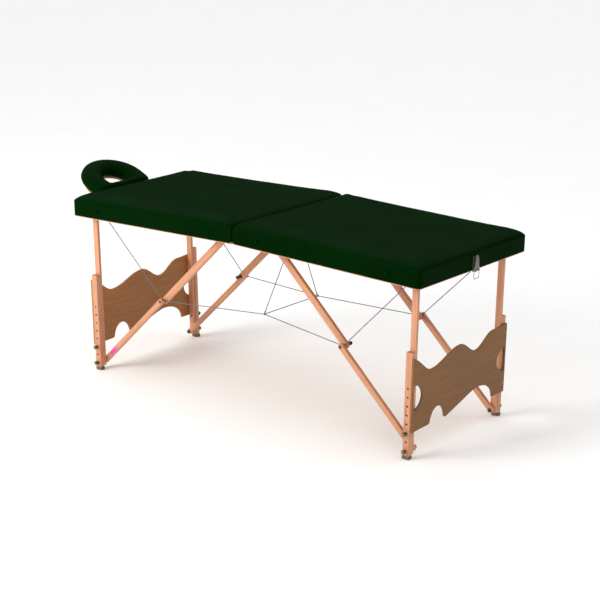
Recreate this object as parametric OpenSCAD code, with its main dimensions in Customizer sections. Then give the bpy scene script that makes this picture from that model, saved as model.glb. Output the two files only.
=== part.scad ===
// Portable massage table: a cambered two-part padded top that folds at a piano hinge, two pairs of
// folding legs with knee-jointed diagonal braces, cable stays, wavy end panels and a tilting headrest.
// Millimetres, +Z up, X along the table, origin on the floor under the middle of the whole object.
// Each half is drawn in its own plan: s runs out from the centre hinge, n runs up from the frame's
// underside, and half() then sets the plan at its slope on its side of the hinge.

/* [Table top] */
// Length of the padded top, end to end
top_len = 1860; // [1850:2:1870]
// Width of the padded top
top_w = 740; // [740:2:750]
// Slope of each half down from the centre, in degrees
camber = 1.43; // [1.2:0.01:1.6]
// Height of the frame's underside at the centre hinge
hinge_h = 729; // [725:1:732]
// Thickness of the pad above the deck
pad_t = 36; // [25:1:50]
// Corner radius of the pad in plan
pad_corner_r = 18; // [8:1:30]

/* [Wooden frame] */
// Depth of the frame rails
rail_h = 60; // [60:1:64]
// Thickness of the frame rails
rail_t = 20; // [16:1:20]
// Thickness of the plywood deck
deck_t = 6; // [4:1:9]
// Thickness of the vinyl on the frame's sides
cover_t = 2; // [1:0.5:2]

/* [Legs] */
// Distance of the legs from the centre hinge
leg_s = 866; // [864:1:868]
// Width of the upper legs, seen from the side
leg_w = 28; // [24:1:30]
// Thickness of the upper legs
leg_t = 14; // [12:1:15]
// Width of the leg extensions, seen from the side
ext_w = 30; // [28:1:30]
// Thickness of the leg extensions
ext_t = 22; // [18:1:22]
// Spacing of the height holes
hole_pitch = 36.7; // [30:0.1:38]
// Number of height holes in an extension
hole_count = 8; // [3:1:8]
// Thickness of the plywood end panels
panel_t = 8.8; // [6:0.2:9]

/* [Braces] */
// Depth of the upper braces
upper_brace_w = 30; // [24:1:30]
// Depth of the lower braces
lower_brace_w = 25; // [20:1:26]
// Thickness of the braces
brace_t = 18.7; // [14:0.1:18.8]
// Diameter of the steel stay cables
cable_d = 3.5; // [2:0.5:4]

/* [Headrest] */
// Half of the headrest cushion's width
rest_half_w = 172; // [150:1:175]
// Reach of the cushion's round outer end
rest_reach = 148; // [130:1:150]
// Thickness of the headrest cushion
rest_t = 76; // [60:1:78]
// Radius of the face hole
face_r = 56; // [50:1:60]
// Rise of the headrest above the plane of its half, in degrees
rest_tilt = 25.4; // [20:0.1:28]

/* [Hidden] */
$fn = 48;

left = -1;
right = 1;
run = 0.05;            // radial clearance of a pin in its bore
gap = 0.3;             // clearance between neighbouring moving parts
cut = 1;               // how far a cutter stands past a face

// Frame, in a half's own plan
half_len = top_len / 2;
half_w = top_w / 2;
seam_s = 1.5;                              // first thing out from the hinge line
frame_end = half_len - cover_t;
rail_out = half_w - cover_t;
frame_corner_r = pad_corner_r - cover_t;
rail_in = rail_out - rail_t;
centre_rail_s = seam_s + cover_t;
deck_top = rail_h + deck_t;

// Lanes across the width, as distances from the centre line
ext_in = 303;
ext_out = ext_in + ext_t;
leg_out = ext_in - gap;
leg_in = leg_out - leg_t;
lower_out = 286;
lower_in = lower_out - brace_t;
upper_out = 259;
upper_in = upper_out - brace_t;
knee_mid = (lower_in + upper_out) / 2;
// The cable's ring on the knee sits nearer the lower brace, so that its cable clears the upper one
knee_ring_y = knee_mid + 2.1;
brace_block_out = 281;

// Pivots as [s, n]
leg_pivot = [leg_s, 35];
foot_pivot = [leg_s, -673];
brace_pivot = [90, 35];
pin_r = 4;
knee_r = 5;
brace_run = foot_pivot - brace_pivot;
brace_len = norm(brace_run);
// The knee's place makes the brace lie flat along the folded leg
fold_gap = (leg_s - (leg_pivot[1] - foot_pivot[1])) - brace_pivot[0];
knee_reach = (brace_len + fold_gap) / 2;
knee = brace_pivot + brace_run * knee_reach / brace_len;

// Legs
ext_top = -270;
ext_foot = -694;
leg_foot = -690;
bolt_steps = [0, 2];                       // height holes that hold the bolts
knob_r = 10;
knob_len = 20;
knob_lobes = 6;
panel_s = leg_s + ext_w / 2 + 0.2;

// End panel's wavy edges, as [distance across, height] of their crests and dips
panel_top = [[-325, -295], [-200, -362], [-8, -311], [105, -363], [225, -308], [325, -302]];
panel_foot = -594;
notch_at = -152;
notch_half = 50;
notch_rise = 66;
arch_at = 133;
arch_half = 105;
arch_rise = 68;
point_at = -88;                            // tip between the notch and the long slope
wave_steps = 8;
finger_r = 50;
finger_at = [311, -453];
finger_edge = 317;

// Cable stays
cable_r = cable_d / 2;
leg_ring_y = 278;
ring_r = 8;
stay_node_y = 177;
stay_shift = 7;
stay_node_h = 388;
stay_anchor_y = 60;
clip_r = 5;

// Piano hinge
leaf_t = 1.5;
leaf_w = 25;
knuckle_r = 3;
knuckle_count = 17;
knuckle_len = 40;
hinge_pin_r = 1.5;
hinge_axis_h = hinge_h - leaf_t / 2;
hinge_len = knuckle_count * knuckle_len;

// Latch, on the right end
latch_w = 26;
latch_pivot = [half_len + 8.5, 2];
loop_pivot = [half_len + 8.5, 16];
loop_half = 17.5;
wire_r = 1.6;
loop_foot = -31.5;
latch_pin_r = 1.5;

// Headrest
rest_at = [1043, 85];                      // middle of the cushion's thickness where its end rounds
rest_near = 80;                            // straight part, back towards the table
rest_corner = 55;
face_at = -15;
platform_t = 10;
platform_inset = 6;
tilt_pivot = [1000, -4];
tilt_r = 4;
post_r = 6.35;
post_y = 110;
post_n = 13;
bar_s = [943, 971];
bar_h = 26;
ear_y = 46;
ear_t = 12;
lug_t = 6;

// The whole object's box runs from the headrest's outer end to the latch lever's finger lip,
// and the hinge stands off its middle by half the difference
lever_s = [half_len + 6, half_len + 11];
lip_t = 1.5;
lip_n = [53, 57];
rest_end = rest_at + [rest_reach * cos(rest_tilt) + rest_t / 2 * sin(rest_tilt),
                      rest_reach * sin(rest_tilt) - rest_t / 2 * cos(rest_tilt)];
reach_left = rest_end[0] * cos(camber) + rest_end[1] * sin(camber);
reach_right = (lever_s[1] + lip_t) * cos(camber) + lip_n[1] * sin(camber);
hinge_x = (reach_left - reach_right) / 2;

vinyl = [0.02, 0.16, 0.04];
beech = [0.87, 0.63, 0.45];
plywood = [0.52, 0.37, 0.22];
steel = [0.6, 0.6, 0.62];
dark = [0.16, 0.14, 0.12];
brass = [0.55, 0.47, 0.28];
rubber = [0.1, 0.09, 0.08];

// Sets a half's plan on its side of the hinge, at its slope
module half(side) {
    translate([hinge_x, 0, hinge_h])
        if (side > 0) rotate([0, camber, 0]) children();
        else mirror([1, 0, 0]) rotate([0, camber, 0]) children();
}

// A pair of mirror-image pieces across the table
module both_sides() {
    children();
    mirror([0, 1, 0]) children();
}

// A round bar across the table between two distances from the centre line
module cross_pin(at, y_in, y_out, r) {
    translate([at[0], y_out, at[1]]) rotate([90, 0, 0]) cylinder(r = r, h = y_out - y_in);
}

// A box from its lowest to its highest corner
module span_box(low, high) {
    translate(low) cube(high - low);
}

// A block across the table whose two upright corners at the table's end are round
module round_end_block(low, high, r) {
    tall = high[2] - low[2];
    span_box(low, [high[0] - r, high[1], high[2]]);
    span_box([high[0] - r, low[1] + r, low[2]], [high[0], high[1] - r, high[2]]);
    both_sides() translate([high[0] - r, high[1] - r, low[2]]) cylinder(r = r, h = tall);
}

// A flat link with a bore at each end, and round ends a hair wider than its shank
module link(from, to, w, y_in, y_out, from_r, to_r) {
    run_vec = to - from;
    len = norm(run_vec);
    thick = y_out - y_in;
    shank_w = w - 0.4;
    translate([from[0], y_out, from[1]])
        rotate([0, -atan2(run_vec[1], run_vec[0]), 0])
            rotate([90, 0, 0]) difference() {
                union() {
                    translate([0, -shank_w / 2, 0]) cube([len, shank_w, thick]);
                    for (at = [0, len])
                        translate([at, 0, 0]) cylinder(r = w / 2, h = thick);
                }
                translate([0, 0, -cut]) cylinder(r = from_r + run, h = thick + 2 * cut);
                translate([len, 0, -cut]) cylinder(r = to_r + run, h = thick + 2 * cut);
            }
}

// A straight cable between two points, stopping short of both
module cable(from, to, short_from, short_to) {
    way = to - from;
    len = norm(way);
    translate(from + way * short_from / len)
        rotate([0, acos(way[2] / len), atan2(way[1], way[0])])
            cylinder(r = cable_r, h = len - short_from - short_to, $fn = 24);
}

// A ring of cable round a pin that lies across the table
module cable_ring(at, y) {
    translate([at[0], y, at[1]]) rotate([90, 0, 0])
        rotate_extrude() translate([ring_r, 0]) circle(r = cable_r, $fn = 24);
}

// A half's plan point in the table's own frame
function in_table(side, s, y, n) = [
    hinge_x + side * (s * cos(camber) + n * sin(camber)),
    y,
    hinge_h - s * sin(camber) + n * cos(camber)
];

// ---- frame ----

module side_rails(side) {
    color(beech) half(side) intersection() {
        both_sides() span_box([centre_rail_s, rail_in, 0], [frame_end, rail_out + cut, rail_h]);
        round_end_block([centre_rail_s - cut, -rail_out, -cut],
                        [frame_end, rail_out, rail_h + cut], frame_corner_r);
    }
}

module end_rail(side) {
    color(beech) half(side) difference() {
        span_box([frame_end - rail_t, -rail_in, 0], [frame_end, rail_in, rail_h]);
        if (side < 0) both_sides()
            translate([frame_end - rail_t - cut, post_y, post_n]) rotate([0, 90, 0])
                cylinder(r = post_r + run, h = rail_t + 2 * cut);
    }
}

module centre_rail(side) {
    color(beech) half(side)
        span_box([centre_rail_s, -rail_in, 0], [centre_rail_s + rail_t, rail_in, rail_h]);
}

module deck(side) {
    color(plywood) half(side)
        round_end_block([centre_rail_s, -rail_out, rail_h], [frame_end, rail_out, deck_top], frame_corner_r);
}

// Foam pad: square at the seam, with round corners at the table's end
module pad(side) {
    color(vinyl) half(side)
        round_end_block([seam_s, -half_w, deck_top], [half_len, half_w, deck_top + pad_t], pad_corner_r);
}

// Vinyl drawn down over the rails on all four sides of a half
module cover_skirt(side) {
    low = 4;
    color(vinyl) half(side) difference() {
        round_end_block([seam_s, -half_w, low], [half_len, half_w, deck_top], pad_corner_r);
        round_end_block([centre_rail_s, -rail_out, low - cut], [frame_end, rail_out, deck_top + cut],
                        frame_corner_r - run);
        if (side < 0) both_sides()
            translate([half_len - 2 * cover_t, post_y, post_n]) rotate([0, 90, 0])
                cylinder(r = post_r + 1, h = 3 * cover_t);
    }
}

// Domed feet on one long side, for standing the folded table on
module bumpers(side) {
    bumper_r = 10;
    dome_r = 12;
    bumper_n = 36;
    color(dark) half(side) for (s = [130, 780])
        translate([s, -half_w, bumper_n]) rotate([90, 0, 0]) intersection() {
            cylinder(r = bumper_r, h = bumper_r);
            translate([0, 0, -2]) sphere(r = dome_r);
        }
}

// Strap handle lying along the other long side
module handle(side) {
    strap_t = 3;
    stand = 7;
    low = 18;
    high = 42;
    middle = 455;
    half_span = 70;
    foot = 22;
    face = half_w + 0.1;
    color(dark) half(side) {
        for (end = [-1, 1]) {
            at = middle + end * (half_span - foot / 2);
            span_box([at - foot / 2, face, low], [at + foot / 2, face + strap_t, high]);
            inner = middle + end * (half_span - foot + strap_t / 2);
            span_box([inner - strap_t / 2, face, low], [inner + strap_t / 2, half_w + stand + strap_t, high]);
        }
        reach = half_span - foot + strap_t;
        span_box([middle - reach, half_w + stand, low], [middle + reach, half_w + stand + strap_t, high]);
    }
}

// Hardwood blocks that carry the leg pivots and the brace pivots
module pivot_blocks(side) {
    color(beech) half(side) both_sides() {
        difference() {
            span_box([leg_s - 24, leg_out + 0.5, 0], [leg_s + 24, rail_in, rail_h]);
            cross_pin(leg_pivot, leg_out, rail_in + cut, pin_r + run);
        }
        difference() {
            span_box([centre_rail_s + rail_t, upper_out + 0.5, 8],
                     [brace_pivot[0] + 18, brace_block_out, rail_h]);
            cross_pin(brace_pivot, upper_out, brace_block_out + cut, pin_r + run);
        }
    }
}

module pivot_bolts(side) {
    head_r = 7.5;
    head_t = 4;
    leg_bolt_in = leg_ring_y - 6;
    brace_bolt_in = upper_in - 1;
    color(steel) half(side) both_sides() {
        cross_pin(leg_pivot, leg_bolt_in, rail_in - 2, pin_r);
        cross_pin(leg_pivot, leg_bolt_in - head_t, leg_bolt_in, head_r);
        cross_pin(brace_pivot, brace_bolt_in, brace_block_out + 4, pin_r);
        cross_pin(brace_pivot, brace_bolt_in - head_t, brace_bolt_in, head_r);
    }
}

// One leaf of the piano hinge with every second knuckle, each joined to it by a thinner tab
module hinge_leaf(side) {
    first = side < 0 ? 0 : 1;
    tab_inset = 1;
    tab_thin = 0.1;
    color(brass) difference() {
        union() {
            half(side) span_box([knuckle_r + 0.4, -hinge_len / 2, -leaf_t], [leaf_w, hinge_len / 2, 0]);
            for (i = [first : 2 : knuckle_count - 1]) {
                y = -hinge_len / 2 + i * knuckle_len + 0.2;
                translate([hinge_x, y, hinge_axis_h]) rotate([-90, 0, 0])
                    cylinder(r = knuckle_r, h = knuckle_len - 0.4);
                half(side) span_box([hinge_pin_r + 0.5, y + tab_inset, -leaf_t + tab_thin],
                                    [knuckle_r + 1, y + knuckle_len - 0.4 - tab_inset, -tab_thin]);
            }
        }
        translate([hinge_x, -hinge_len / 2 - cut, hinge_axis_h]) rotate([-90, 0, 0])
            cylinder(r = hinge_pin_r + run, h = hinge_len + 2 * cut);
    }
}

module hinge_pin() {
    color(steel) translate([hinge_x, -hinge_len / 2, hinge_axis_h]) rotate([-90, 0, 0])
        cylinder(r = hinge_pin_r, h = hinge_len);
}

// ---- legs ----

module upper_legs(side) {
    color(beech) half(side) both_sides() difference() {
        union() {
            span_box([leg_s - leg_w / 2, leg_in, leg_foot], [leg_s + leg_w / 2, leg_out, leg_pivot[1]]);
            cross_pin(leg_pivot, leg_in, leg_out, leg_w / 2);
        }
        cross_pin(leg_pivot, leg_in - cut, leg_out + cut, pin_r + run);
        for (k = bolt_steps)
            cross_pin(foot_pivot + [0, k * hole_pitch], leg_in - cut, leg_out + cut, pin_r + run);
    }
}

module leg_extensions(side) {
    color(beech) half(side) both_sides() difference() {
        span_box([leg_s - ext_w / 2, ext_in, ext_foot], [leg_s + ext_w / 2, ext_out, ext_top]);
        for (k = [0 : hole_count - 1])
            cross_pin(foot_pivot + [0, k * hole_pitch], ext_in - cut, ext_out + cut, pin_r + run);
        panel_screw_holes();
    }
}

// Foot pads, cut level with the floor
module rubber_feet(side) {
    spread = 1.5;
    deep = 30;
    color(rubber) intersection() {
        half(side) both_sides()
            span_box([leg_s - ext_w / 2 - spread, ext_in, ext_foot - deep],
                     [leg_s + ext_w / 2 + spread, ext_out + spread, ext_foot]);
        translate([hinge_x - top_len / 2, -half_w, 0]) cube([top_len, top_w, hinge_h]);
    }
}

// Height of a wave between crests and dips, level at each of them
function wave(points, i, t) =
    points[i][1] + (points[i + 1][1] - points[i][1]) * (1 - cos(180 * t)) / 2;
function wave_edge(points) = [
    for (i = [0 : len(points) - 2]) for (j = [0 : wave_steps - 1])
        let (t = j / wave_steps)
            [points[i][0] + (points[i + 1][0] - points[i][0]) * t, wave(points, i, t)],
    points[len(points) - 1]
];
// Arc of an ellipse standing on the panel's foot line
function arch(at, half_span, rise, a0, a1, steps) = [
    for (j = [0 : steps]) let (a = a0 + (a1 - a0) * j / steps)
        [at + half_span * cos(a), panel_foot + rise * sin(a)]
];

module end_panel(side) {
    outline = concat(
        wave_edge(panel_top),
        [[ext_out, panel_foot - 4], [arch_at + arch_half, panel_foot - 4]],
        arch(arch_at, arch_half, arch_rise, 0, 115, 10),
        [[point_at, panel_foot + 6], [point_at - 5, panel_foot + 3]],
        arch(notch_at, notch_half, notch_rise, 8, 172, 12),
        [[notch_at - notch_half - 8, panel_foot + 4], [-ext_out, panel_foot]]
    );
    color(plywood) half(side) difference() {
        translate([panel_s, 0, 0]) rotate([90, 0, 90]) linear_extrude(panel_t) polygon(outline);
        both_sides() intersection() {
            translate([panel_s - cut, finger_at[0], finger_at[1]]) rotate([0, 90, 0])
                cylinder(r = finger_r, h = panel_t + 2 * cut);
            span_box([panel_s - cut, 0, -half_w * 2], [panel_s + panel_t + cut, finger_edge, 0]);
        }
        panel_screw_holes();
    }
}

screw_n = [-335, -560];
screw_y = 313;
screw_r = 2;
screw_tip = leg_s + 7;

module screw_shank(n, y, r, tip, end) {
    translate([tip, y, n]) rotate([0, 90, 0]) cylinder(r = r, h = end - tip, $fn = 24);
}

module panel_screw_holes() {
    both_sides() for (n = screw_n)
        screw_shank(n, screw_y, screw_r + run, screw_tip - 1, panel_s + panel_t + cut);
}

module panel_screws(side) {
    head_r = 4.5;
    head_t = 2;
    color(brass) half(side) both_sides() for (n = screw_n) {
        screw_shank(n, screw_y, screw_r, screw_tip, panel_s + panel_t + head_t);
        screw_shank(n, screw_y, head_r, panel_s + panel_t, panel_s + panel_t + head_t);
    }
}

// Long bolts at the knee of the leg and through the brace's foot, with a nut on the lower one
module height_bolts(side) {
    nut_r = 9;
    color(steel) half(side) both_sides() {
        cross_pin(foot_pivot, lower_in - 5, ext_out + 3, pin_r);
        translate([foot_pivot[0], lower_in - gap, foot_pivot[1]]) rotate([90, 0, 0])
            cylinder(r = nut_r, h = 6.4, $fn = 6);
        cross_pin(foot_pivot + [0, bolt_steps[1] * hole_pitch], leg_in, ext_out + 3, pin_r);
    }
}

module height_knobs(side) {
    lobe_r = 3;
    color(brass) half(side) both_sides() for (k = bolt_steps) {
        at = foot_pivot + [0, k * hole_pitch];
        difference() {
            union() {
                cross_pin(at, ext_out + gap, ext_out + gap + knob_len, knob_r - lobe_r + 1);
                for (i = [0 : knob_lobes - 1]) {
                    turn = i * 360 / knob_lobes;
                    lobe = at + (knob_r - lobe_r) * [cos(turn), sin(turn)];
                    cross_pin(lobe, ext_out + gap + 8, ext_out + gap + knob_len, lobe_r);
                }
            }
            cross_pin(at, ext_out, ext_out + 3 + gap, pin_r + run);
        }
    }
}

// ---- braces ----

module upper_braces(side) {
    color(beech) half(side) both_sides()
        link(brace_pivot, knee, upper_brace_w, upper_in, upper_out, pin_r, knee_r);
}

module lower_braces(side) {
    color(beech) half(side) both_sides()
        link(knee, foot_pivot, lower_brace_w, lower_in, lower_out, knee_r, pin_r);
}

// The knee bolt is in two lengths that meet in the slot between the braces
module knee_pins(side) {
    inner_end = 215;
    sleeve_r = 8;
    color(dark) half(side) both_sides() {
        cross_pin(knee, upper_in - gap, knee_mid - 0.5, knee_r);
        cross_pin(knee, inner_end, upper_in - gap, sleeve_r);
    }
}

module knee_bushes(side) {
    color(steel) half(side) both_sides() cross_pin(knee, knee_mid + 0.5, lower_out, knee_r);
}

// ---- cables ----

function stay_node(end) = [hinge_x, end * stay_node_y + stay_shift, stay_node_h];

module cables(side) {
    color(steel) for (end = [-1, 1]) {
        at_leg = in_table(side, leg_pivot[0], end * leg_ring_y, leg_pivot[1]);
        at_knee = in_table(side, knee[0], end * knee_ring_y, knee[1]);
        cable(at_leg, at_knee, ring_r, ring_r);
        cable(at_knee, stay_node(end), ring_r, clip_r + 3);
        half(side) cable_ring(leg_pivot, end * leg_ring_y);
        half(side) cable_ring(knee, end * knee_ring_y);
    }
}

// Cross cable, its clips, and the two stays up to an eye under the centre rail
module centre_cables() {
    clip_len = 10;
    eye_h = 7;
    // Clear of the hinge leaf on the underside of the rail
    eye_top = hinge_h - 2.2;
    anchor = [hinge_x - centre_rail_s - rail_t / 2, stay_anchor_y, eye_top - eye_h / 2];
    color(steel) {
        cable(stay_node(-1), stay_node(1), 0, 0);
        for (end = [-1, 1]) {
            translate(stay_node(end)) rotate([90, 0, 0])
                cylinder(r = clip_r, h = clip_len, center = true);
            cable(stay_node(end), anchor, 0, 0);
        }
        translate(anchor) cylinder(r = clip_r + 1, h = eye_h, center = true);
    }
}

// ---- latch ----

module latch_base() {
    plate_t = 2;
    ear_t = 1.8;
    ear_r = 7;
    face = half_len + 0.1;
    color(steel) half(right) {
        span_box([face, -loop_half, -3], [face + plate_t, loop_half, 58]);
        both_sides() difference() {
            union() {
                cross_pin(latch_pivot, latch_w / 2 + gap, latch_w / 2 + gap + ear_t, ear_r - 2);
                span_box([face + 1, latch_w / 2 + gap, -3],
                         [latch_pivot[0], latch_w / 2 + gap + ear_t, ear_r]);
            }
            cross_pin(latch_pivot, latch_w / 2, latch_w / 2 + ear_t + cut, latch_pin_r + run);
        }
    }
}

// Bullet-shaped lever with its pivot pin and the holes for the loop
module latch_lever() {
    top_at = 49;
    color(steel) half(right) {
        difference() {
            union() {
                span_box([lever_s[0], -latch_w / 2, latch_pivot[1]], [lever_s[1], latch_w / 2, top_at]);
                cross_pin(latch_pivot, -latch_w / 2, latch_w / 2, 4.4);
                translate([lever_s[0], 0, top_at]) rotate([0, 90, 0])
                    cylinder(r = latch_w / 2, h = lever_s[1] - lever_s[0]);
                span_box([lever_s[0] + 2, -4, lip_n[0]], [lever_s[1] + lip_t, 4, lip_n[1]]);
            }
            both_sides() cross_pin(loop_pivot, latch_w / 2 - 6, latch_w / 2 + cut, wire_r + run);
            cross_pin(latch_pivot, -latch_w, latch_w, latch_pin_r);
        }
        cross_pin(latch_pivot, -latch_w / 2 - gap - 1.8, latch_w / 2 + gap + 1.8, latch_pin_r);
    }
}

// Wire loop that hangs from the lever and hooks the keeper on the other end
module latch_loop() {
    color(steel) half(right) {
        both_sides() {
            cross_pin(loop_pivot, latch_w / 2 - 5, loop_half, wire_r);
            translate([loop_pivot[0], loop_half, loop_foot])
                cylinder(r = wire_r, h = loop_pivot[1] - loop_foot);
            for (n = [loop_foot, loop_pivot[1]])
                translate([loop_pivot[0], loop_half, n]) sphere(r = wire_r);
        }
        cross_pin([loop_pivot[0], loop_foot], -loop_half, loop_half, wire_r);
    }
}

// Hook plate on the left end for the loop
module latch_keeper() {
    face = half_len + 0.1;
    plate_t = 1.8;
    hook_half = 12;
    color(steel) half(left) {
        span_box([face, -hook_half - 4, 32], [face + plate_t, hook_half + 4, 58]);
        span_box([face, -hook_half, 44], [face + 8, hook_half, 46]);
        span_box([face + 6, -hook_half, 44], [face + 8, hook_half, 52]);
    }
}

// ---- headrest ----

// Sets the headrest's plan, a out along its slope and b up through its thickness
module on_headrest() {
    half(left) translate([rest_at[0], 0, rest_at[1]]) rotate([0, -rest_tilt, 0]) children();
}

// Outline with a round outer end and rounded corners next to the table
function rest_outline(inset) = concat(
    [for (a = [-90 : 7.5 : 90]) [(rest_reach - inset) * cos(a), (rest_half_w - inset) * sin(a)]],
    [for (a = [90 : 15 : 180]) rest_corner_point(a, 1, inset)],
    [for (a = [180 : -15 : 90]) rest_corner_point(a, -1, inset)]
);
function rest_corner_point(a, end, inset) = [
    -rest_near + rest_corner + (rest_corner - inset) * cos(a),
    end * (rest_half_w - rest_corner + (rest_corner - inset) * sin(a))
];

module rest_plate(inset, low, high, hole_r) {
    difference() {
        translate([0, 0, low]) linear_extrude(high - low) polygon(rest_outline(inset));
        translate([face_at, 0, low - cut]) cylinder(r = hole_r, h = high - low + 2 * cut);
    }
}

module headrest_cushion() {
    color(vinyl) on_headrest() rest_plate(0, -rest_t / 2, rest_t / 2, face_r);
}

module headrest_platform() {
    top = -rest_t / 2;
    color(plywood) on_headrest() rest_plate(platform_inset, top - platform_t, top, face_r + 4);
}

// Steel lugs under the platform that turn on the pivot rod
module headrest_lugs() {
    under = -rest_t / 2 - platform_t;
    lug_y = ear_y - ear_t / 2 - gap;
    color(steel) both_sides() difference() {
        union() {
            half(left) cross_pin(tilt_pivot, lug_y - lug_t, lug_y, 10);
            on_headrest() span_box([-rest_near + 14, lug_y - lug_t, under - 3],
                                   [face_at - face_r - 6 + 26, lug_y, under]);
            intersection() {
                half(left) span_box([tilt_pivot[0] - 9, lug_y - lug_t, tilt_pivot[1] + 2],
                                    [tilt_pivot[0] + 26, lug_y, tilt_pivot[1] + 60]);
                on_headrest() span_box([-rest_near - 20, lug_y - lug_t, under - 40],
                                       [face_at, lug_y, under]);
            }
        }
        half(left) cross_pin(tilt_pivot, lug_y - lug_t - cut, lug_y + cut, tilt_r + run);
    }
}

// Cross bar with the two arms that hold the pivot rod
module headrest_bar() {
    bar_half = 135;
    arm_h = 10;
    color(beech) half(left) difference() {
        union() {
            span_box([bar_s[0], -bar_half, 0], [bar_s[1], bar_half, bar_h]);
            both_sides() {
                span_box([bar_s[0], ear_y - ear_t / 2, tilt_pivot[1] - arm_h],
                         [tilt_pivot[0], ear_y + ear_t / 2, tilt_pivot[1] + arm_h]);
                cross_pin(tilt_pivot, ear_y - ear_t / 2, ear_y + ear_t / 2, arm_h);
            }
        }
        both_sides() {
            cross_pin(tilt_pivot, ear_y - ear_t / 2 - cut, ear_y + ear_t / 2 + cut, tilt_r + run);
            translate([bar_s[0] - cut, post_y, post_n]) rotate([0, 90, 0])
                cylinder(r = post_r + run, h = bar_s[1] - bar_s[0] - 4 + cut);
        }
    }
}

// Rods that plug into the end rail
module headrest_posts() {
    post_in = 790;
    color(steel) half(left) both_sides()
        translate([post_in, post_y, post_n]) rotate([0, 90, 0])
            cylinder(r = post_r, h = bar_s[1] - 5 - post_in);
}

rod_half = ear_y + ear_t / 2 + 3;

// Clamping rod through both arms and both lugs
module headrest_pivot() {
    head_r = 7;
    color(steel) half(left) {
        cross_pin(tilt_pivot, -rod_half, rod_half + 8, tilt_r);
        cross_pin(tilt_pivot, rod_half - 3 + gap, rod_half, head_r);
    }
}

// Cam lever on the rod's end
module headrest_lever() {
    cam_r = 9;
    lever_t = 8;
    lever_len = 55;
    arm_h = 9;
    arm_start = 6;
    y_out = -rod_half + 3 - gap;
    color(dark) half(left) difference() {
        union() {
            cross_pin(tilt_pivot, y_out - lever_t - 4, y_out, cam_r);
            translate([tilt_pivot[0], y_out - lever_t - 1, tilt_pivot[1]]) rotate([0, 20, 0])
                translate([arm_start, 0, -arm_h / 2]) cube([lever_len - arm_start, lever_t, arm_h]);
        }
        cross_pin(tilt_pivot, y_out - lever_t, y_out + cut, tilt_r + run);
    }
}

side_rails(left);  // left_side_rails
end_rail(left);  // left_end_rail
centre_rail(left);  // left_centre_rail
deck(left);  // left_deck
pad(left);  // left_pad
cover_skirt(left);  // left_cover_skirt
bumpers(left);  // left_bumpers
handle(left);  // left_handle
pivot_blocks(left);  // left_pivot_blocks
pivot_bolts(left);  // left_pivot_bolts
hinge_leaf(left);  // left_hinge_leaf
cables(left);  // left_cables
upper_legs(left);  // left_upper_legs
leg_extensions(left);  // left_leg_extensions
end_panel(left);  // left_end_panel
rubber_feet(left);  // left_rubber_feet
height_bolts(left);  // left_height_bolts
height_knobs(left);  // left_height_knobs
panel_screws(left);  // left_panel_screws
upper_braces(left);  // left_upper_braces
lower_braces(left);  // left_lower_braces
knee_pins(left);  // left_knee_pins
knee_bushes(left);  // left_knee_bushes
side_rails(right);  // right_side_rails
end_rail(right);  // right_end_rail
centre_rail(right);  // right_centre_rail
deck(right);  // right_deck
pad(right);  // right_pad
cover_skirt(right);  // right_cover_skirt
bumpers(right);  // right_bumpers
handle(right);  // right_handle
pivot_blocks(right);  // right_pivot_blocks
pivot_bolts(right);  // right_pivot_bolts
hinge_leaf(right);  // right_hinge_leaf
cables(right);  // right_cables
upper_legs(right);  // right_upper_legs
leg_extensions(right);  // right_leg_extensions
end_panel(right);  // right_end_panel
rubber_feet(right);  // right_rubber_feet
height_bolts(right);  // right_height_bolts
height_knobs(right);  // right_height_knobs
panel_screws(right);  // right_panel_screws
upper_braces(right);  // right_upper_braces
lower_braces(right);  // right_lower_braces
knee_pins(right);  // right_knee_pins
knee_bushes(right);  // right_knee_bushes
hinge_pin();
centre_cables();
latch_keeper();
latch_base();
latch_lever();
latch_loop();
headrest_posts();
headrest_bar();
headrest_platform();
headrest_lugs();
headrest_cushion();
headrest_pivot();
headrest_lever();
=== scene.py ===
"""Looks for the portable massage table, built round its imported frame.

Each half of the table has its own plan: s runs out from the hinge, y across the table and n up from
the underside of the wooden frame. Sizes are in metres.
"""

from math import atan2, copysign, cos, hypot, pi, radians, sin, sqrt, tan, tanh

import bmesh
import bpy
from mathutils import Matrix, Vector, noise
from mathutils.bvhtree import BVHTree


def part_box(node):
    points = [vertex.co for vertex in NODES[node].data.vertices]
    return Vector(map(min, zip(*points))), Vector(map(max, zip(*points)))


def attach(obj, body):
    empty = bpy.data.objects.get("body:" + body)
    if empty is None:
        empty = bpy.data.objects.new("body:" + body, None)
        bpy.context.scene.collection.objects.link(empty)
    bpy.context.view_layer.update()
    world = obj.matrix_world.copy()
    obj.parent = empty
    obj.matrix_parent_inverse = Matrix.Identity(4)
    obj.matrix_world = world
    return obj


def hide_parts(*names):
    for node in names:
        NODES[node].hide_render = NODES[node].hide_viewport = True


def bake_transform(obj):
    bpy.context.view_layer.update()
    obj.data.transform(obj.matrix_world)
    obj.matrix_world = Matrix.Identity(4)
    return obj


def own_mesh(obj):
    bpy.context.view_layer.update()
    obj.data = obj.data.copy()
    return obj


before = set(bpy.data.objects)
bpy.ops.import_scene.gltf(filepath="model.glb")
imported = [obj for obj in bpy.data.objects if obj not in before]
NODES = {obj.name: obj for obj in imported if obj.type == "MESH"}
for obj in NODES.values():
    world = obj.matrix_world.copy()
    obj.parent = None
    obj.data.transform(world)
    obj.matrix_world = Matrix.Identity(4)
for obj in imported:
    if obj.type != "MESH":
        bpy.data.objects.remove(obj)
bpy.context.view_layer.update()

MM = 0.001

# Camera, placed from the hinge line
CAMERA_FROM_HINGE = Vector((4.398, -5.276, 2.443))
CAMERA_AZIMUTH = 39.47
CAMERA_ELEVATION = 16.48
CAMERA_LENS = 100.94

# Light
SKY_STRENGTH = 1.2
LOW_SKY = (0.04, 0.04, 0.04)
KEY_POWER = 245

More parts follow.
